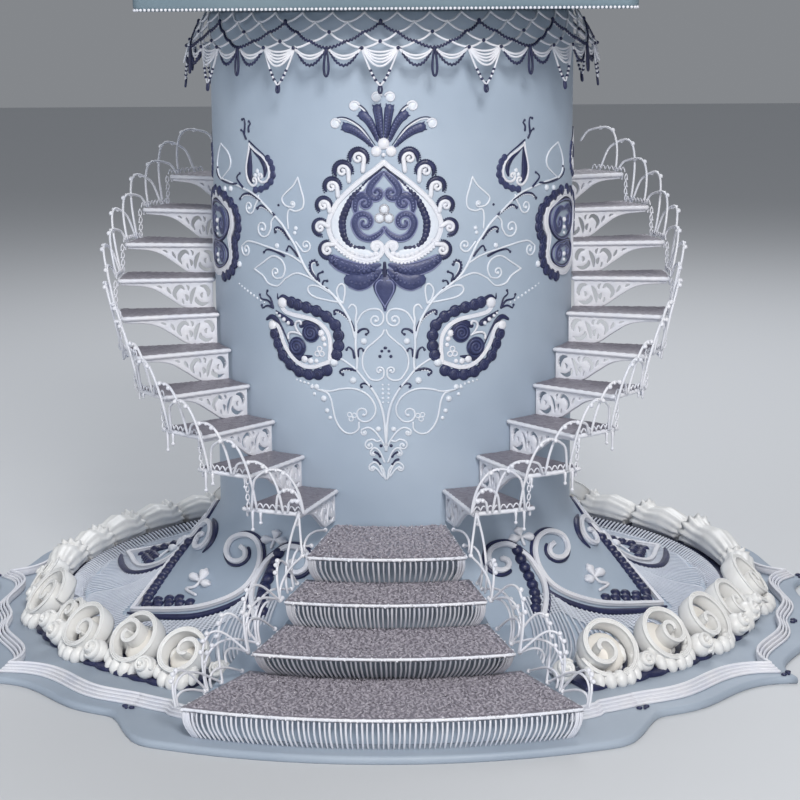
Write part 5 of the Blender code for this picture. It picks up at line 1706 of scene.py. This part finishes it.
vineLines = {
    "vines": (((-16, 163), (-18, 170.5), (-21, 176.5), (-24.4, 181.5), (-29.1, 186.8),
        (-35.7, 191.3), (-41.1, 195.9), (-44.5, 200.6), (-47.3, 206), (-50.1, 211.3), (-53.7, 216),
        (-58.3, 221.8), (-64.5, 226.9), (-70.4, 231.4), (-78.6, 236.4), (-87.9, 238.9),
        (-100.1, 241.1), (-114.9, 242.6)), ((0.2, 102.7), (-0.3, 110.9), (-0.9, 119),
        (-2.4, 126.5), (-5.1, 132.4), (-8.3, 137.2), (-11.5, 140.9), (-15.8, 146.1),
        (-20.7, 149.7), (-24.5, 151.7), (-27.4, 151)), ((-15.3, 146.1), (-15, 152.1),
        (-15.7, 157.4), (-15.7, 162.7), (-15.1, 167), (-15.7, 172.3), (-15.1, 176.6),
        (-15.7, 179.8), (-17.8, 180.7), (-19.4, 178.6))),
    # thinner lines, the second of each pair is the eye it rolls up round
    "branches": ((((-45.9, 201.8), (-52.3, 205.1), (-61.6, 207.5), (-70.8, 209.3), (-78.2, 210.5),
        (-85.3, 210.6), (-90.6, 207.6)), (-86.5, 206.1)), (((-35.7, 191.3), (-42.4, 194.6),
        (-49.5, 196), (-57.1, 192.4)), None), (((-62.9, 225.5), (-65.5, 222.6), (-65.9, 218.9),
        (-68.1, 215.3)), (-72, 218.7)), (((-74.9, 235.8), (-75.9, 232.9), (-77.8, 230.3),
        (-78.8, 228.1)), (-82.8, 229.4)), (((-49.3, 212.6), (-47.2, 210.2), (-45.1, 207.9)),
        (-43.3, 211.1)), (((-15.7, 165.4), (-15.6, 169.1), (-14.1, 172.9), (-11.4, 176.7),
        (-7.1, 178.5), (-2.9, 178.1), (-0.9, 175.3), (-1, 172.1)), (-4.9, 172.8)), (((0.2, 102.7),
        (-2.4, 108.1), (-6.1, 113), (-9.4, 114.9), (-12.7, 113.9)), (-11.6, 112.2)),
        (((-2.4, 108.1), (-5.1, 107.4), (-7, 108.6), (-9.6, 108)), (-8.8, 105.3)), (((-3, 94.5),
        (-1.4, 91.8), (-0.4, 86.9)), None), (((-2.2, 88.6), (-4.6, 92), (-7.2, 93.6),
        (-8.4, 91.8)), None), (((-22.3, 181.4), (-30, 182.4), (-38.7, 184.1), (-42.3, 187.1),
        (-41, 189.8), (-35.7, 189.6), (-28.5, 185.8), (-22.3, 181.4)), None), (((-24.4, 182.7),
        (-25.8, 187.9), (-23.8, 191.3), (-21.6, 190.7), (-21.3, 186.7), (-22.3, 181.4)), None),
        (((-0.9, 96.2), (-3.4, 101.9), (-6.3, 104), (-8.4, 101.9)), (-6.9, 101)), (((-0.9, 87.5),
        (-3.6, 94), (-6.2, 96.1), (-8.4, 94.9)), (-7.4, 93))),
    "leaves": ((((-47.5, 246.6), (-50.5, 242.2), (-55.8, 237.8), (-57.9, 235.2), (-56.5, 232.3),
        (-53.9, 231.1), (-50.6, 230.9)), (-51.2, 232.7)), (((-47.5, 246.6), (-45.8, 241.2),
        (-44.1, 235.3), (-44.9, 230.7), (-49.2, 228.9), (-53.2, 229.6), (-54.4, 225.7),
        (-54, 219.6)), None), (((-79.4, 196.1), (-71.8, 200.5), (-64.9, 204.2), (-58.9, 202.5),
        (-56.6, 198), (-58.4, 193.4), (-61.8, 192.4)), (-62.9, 195.7)), (((-79.4, 196.1),
        (-72.4, 193), (-68.5, 189.3), (-61.9, 188.4), (-57.1, 192.1)), None), (((-0.6, 167.3),
        (-1.9, 164.6), (-6.1, 160.8), (-9.8, 157.5), (-12, 153.2), (-12, 147.9), (-10.4, 144.2),
        (-7.7, 141), (-4, 140.5), (-1.2, 142.2), (-0.8, 144.6)), (-3.2, 145.6)), (((-37.2, 134.2),
        (-30.3, 133.8), (-24.6, 135.2), (-18, 135.8), (-12.6, 134.4), (-8.3, 131.3), (-5.6, 126.5),
        (-5.8, 122.2), (-8.1, 119.1)), (-12, 122.5)), (((-37.2, 134.2), (-32, 132.9),
        (-29.7, 129.3), (-28.7, 124.5), (-27.5, 119.1), (-25.3, 114.9), (-22, 111.8),
        (-18.1, 111.5), (-14.8, 113.8), (-14.4, 117.5)), None), (((-115.1, 242.1), (-120.6, 244.9),
        (-122.4, 250.2), (-119.6, 255.9), (-114.6, 261.5)), None), (((-115.1, 242.1),
        (-108.7, 245.2), (-102.4, 249.2), (-101.4, 253.8), (-105.8, 258.2), (-114.6, 261.5)),
        None)),
    # navy hooks; the first six have a scalloped back
    "hooks": (((-37, 193.1), (-40.3, 197.8), (-40.6, 201.8), (-37.9, 203.1), (-36.6, 201.1)),
        ((-53.8, 214.1), (-56.7, 217.6), (-60.6, 219.8), (-63.4, 219), (-62.9, 217.1)),
        ((-62.9, 225.8), (-67.9, 229.2), (-73.1, 230.8), (-76.3, 229.1)), ((-73.1, 233.1),
        (-80.6, 236.3), (-87.9, 235.9), (-91.7, 233.1)), ((-16.3, 167), (-18.9, 172.8),
        (-22.2, 175.8), (-25.5, 177.6), (-27.6, 176.9), (-27.1, 175.4)), ((-15.8, 145.6),
        (-20.2, 146.5), (-23.5, 145.8), (-24.7, 144.1), (-22.9, 143)), ((-35.6, 192.6),
        (-36.4, 195.9), (-33.6, 197.5)), ((-31, 188.5), (-33.7, 190.2), (-33, 192.7),
        (-31, 192.8)), ((-48.3, 205.3), (-50.9, 208.2), (-53.8, 210.3), (-55.2, 207.9)),
        ((-56.9, 204.7), (-63.2, 206.8), (-69.1, 207.4), (-71.5, 205.8)), ((-14.6, 166),
        (-12.5, 167.6), (-9.8, 167.8), (-8.7, 166.1), (-10.1, 165)), ((-16.6, 152.5),
        (-17.4, 156.3), (-19.6, 158), (-20.7, 156.6)), ((-14.7, 153.1), (-14.1, 156.9),
        (-12.4, 157.5), (-11.6, 156.3)), ((-7.8, 136.7), (-9.4, 138.3), (-12, 138.7),
        (-13.5, 137.6), (-12.8, 136.7)), ((-6, 101.5), (-4.6, 101), (-3.3, 99.3)), ((-6.5, 97.7),
        (-4.9, 97.2), (-3.3, 95.1)), ((-0.1, 108.2), (-0.3, 105.4)), ((-65.3, 176.3),
        (-68.6, 179.7), (-74, 180.4), (-75.3, 182.5)), ((-65.3, 176.3), (-66.9, 181.1),
        (-69.9, 183.3), (-69.4, 185.2)), ((-65.3, 176.3), (-69.6, 177.1), (-73.2, 175.5),
        (-74, 177)), ((-84.6, 265.6), (-87, 269), (-89, 270)), ((-86, 268.4), (-85.4, 273),
        (-86, 276.1), (-87.9, 275.7)), ((-82, 269.6), (-82.1, 272.1), (-80.5, 273.9),
        (-81.8, 274.9)), ((-94.9, 240.9), (-101.7, 240.6), (-112.3, 241.2), (-121.5, 243.2),
        (-124.8, 246), (-122, 248)), ((-88.2, 239.1), (-91.4, 241.4), (-94.3, 243.7),
        (-93.7, 245.5), (-91.2, 246.8))),
    "scalloped": 6,
    # white dots: place and size
    "dots": ((-49.3, 219.9, 1.2), (-50, 217.4, 1.1), (-61.9, 209.9, 1.5), (-101.7, 237.9, 1.8),
        (-109.6, 237.3, 1.6), (-93.6, 197.3, 1.9), (-27.9, 149.5, 2.4), (-17.4, 140.2, 1.9),
        (-11.4, 161.3, 1.8), (-38.1, 135.7, 1.6), (-40.8, 135.5, 1.1), (-39.4, 131.8, 1),
        (-33.9, 129.6, 1.7), (-32.1, 123.2, 1.3), (-30.4, 119.4, 1.1), (-4.1, 114.1, 1.5),
        (-75.6, 248.8, 1.3), (-77.3, 246.5, 1.3), (-74.2, 246.9, 1.3)),
    "navyDots": ((-0.2, 157.8, 0.8), (-1.9, 156.1, 0.8), (-2.9, 153.3, 0.9), (-2.7, 105.1, 0.9),
        (-60.4, 231.6, 0.7)),
    # rows of fading dots: from, to, how many
    "rows": ((-94.5, 186.5, -72, 178.5, 9), (-50.2, 138.6, -40.6, 136.6, 5),
        (-1.6, 138, -1.4, 128.5, 5)),
}


def makeVines(values):
    white, navy = newPile(), newPile()
    look = ornamentValues
    pipeAll(white, values["vines"], look["vine"])
    kinds = (("branches", "branch", None, 0.95), ("leaves", "leaf", 1.1, 0.9))
    for kind, width, turns, knob in kinds:
        for knots, eye in values[kind]:
            line = drawLine(knots, eye, turns)
            pipe(white, line, look[width])
            if eye:
                dab(white, *line[-1], knob, 0.8, 0.2)
    for n, knots in enumerate(values["hooks"]):
        line = drawLine(knots)
        pipe(navy, line, look["hook"])
        dab(navy, *line[-1], 0.75, 0.8, 0.1)
        if n < values["scalloped"]:
            dotLine(navy, offsetLine(line, 0.45)[3:], 0.62, 1.5, 0.8, 0.1)
            pipe(white, offsetLine(line, 0.95 if n else -0.95)[3:-2], (0.4, 0.9, 0.9), 0.7)
    dabs(white, values["dots"], 0.65)
    dabs(navy, values["navyDots"], 0.65)
    for u, v, u1, v1, count in values["rows"]:
        for t in np.linspace(0, 1, count):
            dab(white, u + (u1 - u) * t, v + (v1 - v) * t, 0.55 + 0.25 * math.sin(math.pi * t), 0.7)
    clover(white, -18.3, 120.7, 1.5, 0.7, 20.0)
    placeAll("", (("wallVines", white, "vinePiping", ()), ("vineHooks", navy, "navyPiping", ())))


paisleyLines = {
    "upper": ((-58.5, 180.6), (-59.2, 178), (-56.9, 175.1), (-51.9, 173.8), (-45.4, 172.9),
        (-39.8, 171.9), (-34.8, 169.5), (-31.5, 166.1), (-29.9, 162.1), (-29.6, 156.7),
        (-30, 152.1), (-29.8, 149.6)),
    "lower": ((-65.9, 167.8), (-62.3, 167.2), (-60, 163.1), (-58.2, 158.2), (-54.8, 153.2),
        (-50.4, 149), (-45.2, 146.5), (-39.5, 146.4), (-34.5, 148.1), (-30, 149.8)),
    "balls": ((-58.8, 179.5, 3), (-66, 166.8, 2.7)),
    "dots": ((-62.1, 173.8, 0.7), (-60.2, 172.5, 0.9), (-57.3, 170.8, 1.2), (-54.5, 169.1, 1.1)),
    "dotBack": ((-63.4, 174.8), (-59.5, 172.6), (-56.1, 170.7), (-53, 169.1)),
    "roses": ((-40.9, 164.6, 4.9), (-49.3, 156.6, 5.1)),
    "tails": (((-47, 168), (-44, 169.6), (-40.4, 169.4), (-37.3, 168.1), (-34.6, 165.8)),
        ((-53.4, 152.6), (-49.6, 150.6), (-45.4, 151.2), (-40.5, 152.1))),
    "curls": (((-46.4, 163.1), (-48.7, 165.2), (-50.2, 168.1), (-49.2, 170.2), (-46.8, 170.5),
        (-46.6, 169.2)), ((-46.4, 163.1), (-49.3, 164.2), (-53.1, 164.2), (-54.9, 162.6),
        (-54.7, 160.8))),
    "shells": ((-35.1, 164.7, 2), (-33.6, 161.8, 1.5), (-33, 158.6, 1.2), (-45, 150.2, 2.1),
        (-41.4, 149.4, 1.7), (-38, 149.6, 1.3)),
    "fringeUp": ((-52.9, 179.3), (-49.1, 178.3), (-43.6, 177.2), (-37.8, 175.6), (-32.2, 173),
        (-27.6, 168.9), (-26, 163.8), (-26, 158.5), (-27.2, 153.8)),
    "fringeLow": ((-63.9, 162.7), (-61.5, 157.4), (-58.6, 151.6), (-53.8, 147.3), (-48.4, 144.1),
        (-42.6, 143), (-37.3, 143.4), (-32.3, 145.8)),
    "leaf": ((-70.3, 169.7), (-66.6, 171.4), (-62.6, 169.8), (-59.3, 165.9), (-57.1, 162),
        (-55.3, 158.5), (-54, 155.8)),
    "leafTop": ((-62.1, 184.2), (-61.8, 181.5), (-58.4, 183.2), (-54.9, 181.9)),
    "lobe": 3.3, "outward": 0.9,
}


def makePaisleys(values):
    white, navy, indigo = newPile(), newPile(), newPile()
    for name in ("upper", "lower"):
        ribbon(white, drawLine(values[name]), 2.3, 0.6)
    dabs(white, values["balls"], 0.55, 0.0, largeBall)
    dabs(white, values["dots"], 0.8, 0.9)
    pipe(navy, drawLine(values["dotBack"]), (0.8, 2.2, 3.4, 3.6), 0.4)
    for rose in values["roses"]:
        rosette(navy, indigo, *rose)
    pipeAll(navy, values["tails"], (2.6, 3.4, 2.6, 0.8), 0.3)
    pipeAll(white, values["curls"], (0.9, 1.3, 1.3, 1.5), 0.9, 0.5)
    dabs(white, values["shells"], 0.5)
    clover(white, -36.0, 154.6, 1.7, 0.8)
    for name, away in (("fringeUp", values["outward"]), ("fringeLow", -values["outward"])):
        scallops(navy, indigo, offsetLine(np.array(values[name], float), away), values["lobe"])
    pipe(navy, drawLine(values["leaf"]), (1.6, 3.2, 1.4, 0.9, 0.8), 0.4)
    pipe(navy, drawLine(values["leafTop"]), (0.6, 1.8, 2.2), 0.5)
    nodes = handed("paisley_front") + handed("paisley_back")
    placeAll("paisley", (("Bands", white, "whitePiping", ()), ("s", navy, "navyPiping", nodes),
                         ("Roses", indigo, "indigoPiping", ())))


smallHeartLines = {
    "left": (((-81.7, 263.2), (-82.2, 260.4), (-83.5, 255.4), (-84.7, 250), (-84.2, 245.3),
        (-82.2, 242.3), (-79.4, 240.8), (-76.9, 241.6)), (-78.2, 243.6)),
    "right": (((-81.5, 262.2), (-76.5, 259.3), (-71.8, 257), (-68.3, 253.8), (-66.6, 250.2),
        (-66.6, 246.7), (-68.4, 244.1), (-71.5, 243), (-74, 243.8)), (-72.7, 245.9)),
    "fill": ((-80.9, 260.6), (-81.6, 255.5), (-82, 251.2), (-81.9, 247), (-80.4, 243.5)),
    "line": ((-80.5, 260.7), (-77, 258.1), (-72.8, 255.4), (-70.2, 252.5), (-69.4, 249.4),
        (-70.1, 246.5)),
    "outside": ((-82, 264.4), (-76.4, 261.2), (-70.7, 257.9), (-67.3, 254.8)),
    "fringe": ((-67.5, 255.9), (-65.5, 253.8), (-64.2, 250.8), (-63.9, 247.2), (-65.5, 243.8),
        (-68.7, 241.2), (-73.1, 239.4), (-77.4, 238.7)),
    # how far the hearts over the side paisleys lie from these
    "toSide": (-75, 3),
    "lobe": 2.0,
    # widths along the navy lines, and how tall they are for their width
    "navy": {"fill": ((0.8, 3.2, 4.8, 5.0, 3.4), 0.24),
             "line": ((0.7, 1.2, 1.8, 3.0, 3.2, 1.6), 0.4),
             "outside": ((1.2, 0.9, 0.7), 0.6)},
}


def makeSmallHearts(values, name, shift, turns, nodes):
    white, navy, indigo = newPile(), newPile(), newPile()
    for part in ("left", "right"):
        pipe(white, drawLine(*values[part], 0.9) + shift, (1.3, 1.6, 1.6, 1.5), 0.75)
    for part, (widths, tall) in values["navy"].items():
        pipe(navy, drawLine(values[part]) + shift, widths, tall)
    scallops(indigo, navy, np.array(values["fringe"]) + shift, values["lobe"])
    placeAll(name, (("Bands", white, "whitePiping", ()), ("s", navy, "navyPiping", nodes),
                    ("Fringe", indigo, "indigoPiping", ())), turns)


sidePaisleyLines = {
    # one half of each closed line, the one nearer the front
    "white": ((-124.5, 233.4), (-118, 232.4), (-110, 230), (-102.9, 226.6), (-100.4, 221.8),
        (-100.8, 216.4), (-103.8, 211.4), (-102.6, 206.3), (-101.8, 202.3), (-103.4, 198),
        (-108.2, 194.1), (-116, 191.2), (-124.5, 190)),
    "ring": ((-124.5, 229.8), (-112.8, 228.4), (-106.8, 224.6), (-105.2, 219.9), (-107.4, 214.6),
        (-113, 210.6), (-119.3, 208.6), (-124.5, 208.2)),
    "lowRing": ((-124.5, 207), (-114.5, 206.4), (-108.6, 203.6), (-108.2, 199.4), (-113.6, 195),
        (-124.5, 193)),
    "fringe": ((-119.5, 234.8), (-110, 232.8), (-102, 229.9), (-97, 226.4), (-94.6, 222),
        (-94.4, 217.4), (-95.8, 213.2), (-98.4, 210)),
    "fringeLow": ((-98.4, 206.2), (-97.6, 202.2), (-98.6, 197.9), (-102, 193.6), (-107.4, 190.6),
        (-113.6, 188.9)),
    # curls inside, each with its eye; they are mirrored about the middle
    "curls": ((((-125.5, 224.6), (-118, 225.2), (-112.2, 222.6), (-110.2, 218.4), (-112.6, 214.4),
        (-117.2, 213.4), (-120.2, 215.8)), (-117.2, 217.4), 4.6), (((-125.2, 204.4), (-119, 204.6),
        (-114, 202.4), (-113.6, 199.2), (-117, 197.2), (-120, 198.6)), (-118, 200.4), 3.4)),
    "middle": -124.5, "lobe": 3.5,
    "dots": ((-124.5, 218.6, 1.5), (-124.5, 214.4, 1.2), (-124.5, 211.2, 0.9),
        (-124.5, 199.6, 1.4), (-124.5, 196.4, 1)),
}


def makeSidePaisleys(values):
    white, navy, indigo, lilac = newPile(), newPile(), newPile(), newPile()

    def mirror(line):
        return np.array(line) * (-1, 1) + (2 * values["middle"], 0)

    def wholeLine(half):
        # a closed line from one half of it, which starts and ends in the middle
        return drawLine(np.vstack([half, mirror(half)[-2::-1]]))

    ribbon(white, wholeLine(values["white"]), 4.0, 0.7)
    for name, width in (("ring", 2.6), ("lowRing", 2.3)):
        ring = wholeLine(values[name])
        pipe(navy, ring, (width,), 0.5)
        pipe(lilac, ring, (0.55,), 0.9, width * 0.25, 5)
    for places in (values["fringe"], values["fringeLow"], mirror(values["fringe"])):
        scallops(navy, indigo, places, values["lobe"])
    for knots, eye, width in values["curls"]:
        line = drawLine(knots, eye, 0.9)
        for half in (line, mirror(line)):
            widths = width * np.interp(np.linspace(0, 1, len(half)), (0, 0.25, 0.6, 1),
                                       (0.35, 1.0, 0.85, 0.45))
            pipe(indigo, half, widths, 0.40, 0.0, 8)
            pipeEdges(lilac, half, widths, 0.46, (0.6,), 0.25)
    dabs(white, values["dots"], 0.8, 0.3)
    placeAll("side", (("Bands", white, "whitePiping", ()),
                      ("Paisleys", navy, "navyPiping", handed("side_paisley")),
                      ("Curls", indigo, "indigoPiping", ()),
                      ("CurlRims", lilac, "lilacPiping", ())), onlyOnce)


makeMedallion(medallionLines)
makeVines(vineLines)
makePaisleys(paisleyLines)
makeSmallHearts(smallHeartLines, "smallHeart", (0.0, 0.0), frontAndBack,
                handed("small_heart_front") + handed("small_heart_back"))
makeSmallHearts(smallHeartLines, "sideHeart", smallHeartLines["toSide"], onlyOnce, ())
makeSidePaisleys(sidePaisleyLines)
print("wall ornament is made")


# the one node that keeps its shape

def finishNode(name, finish):
    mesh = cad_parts[name].data
    mesh.materials.clear()
    mesh.materials.append(finishes[finish][0])


finishNode("stair_core", "wallIcing")
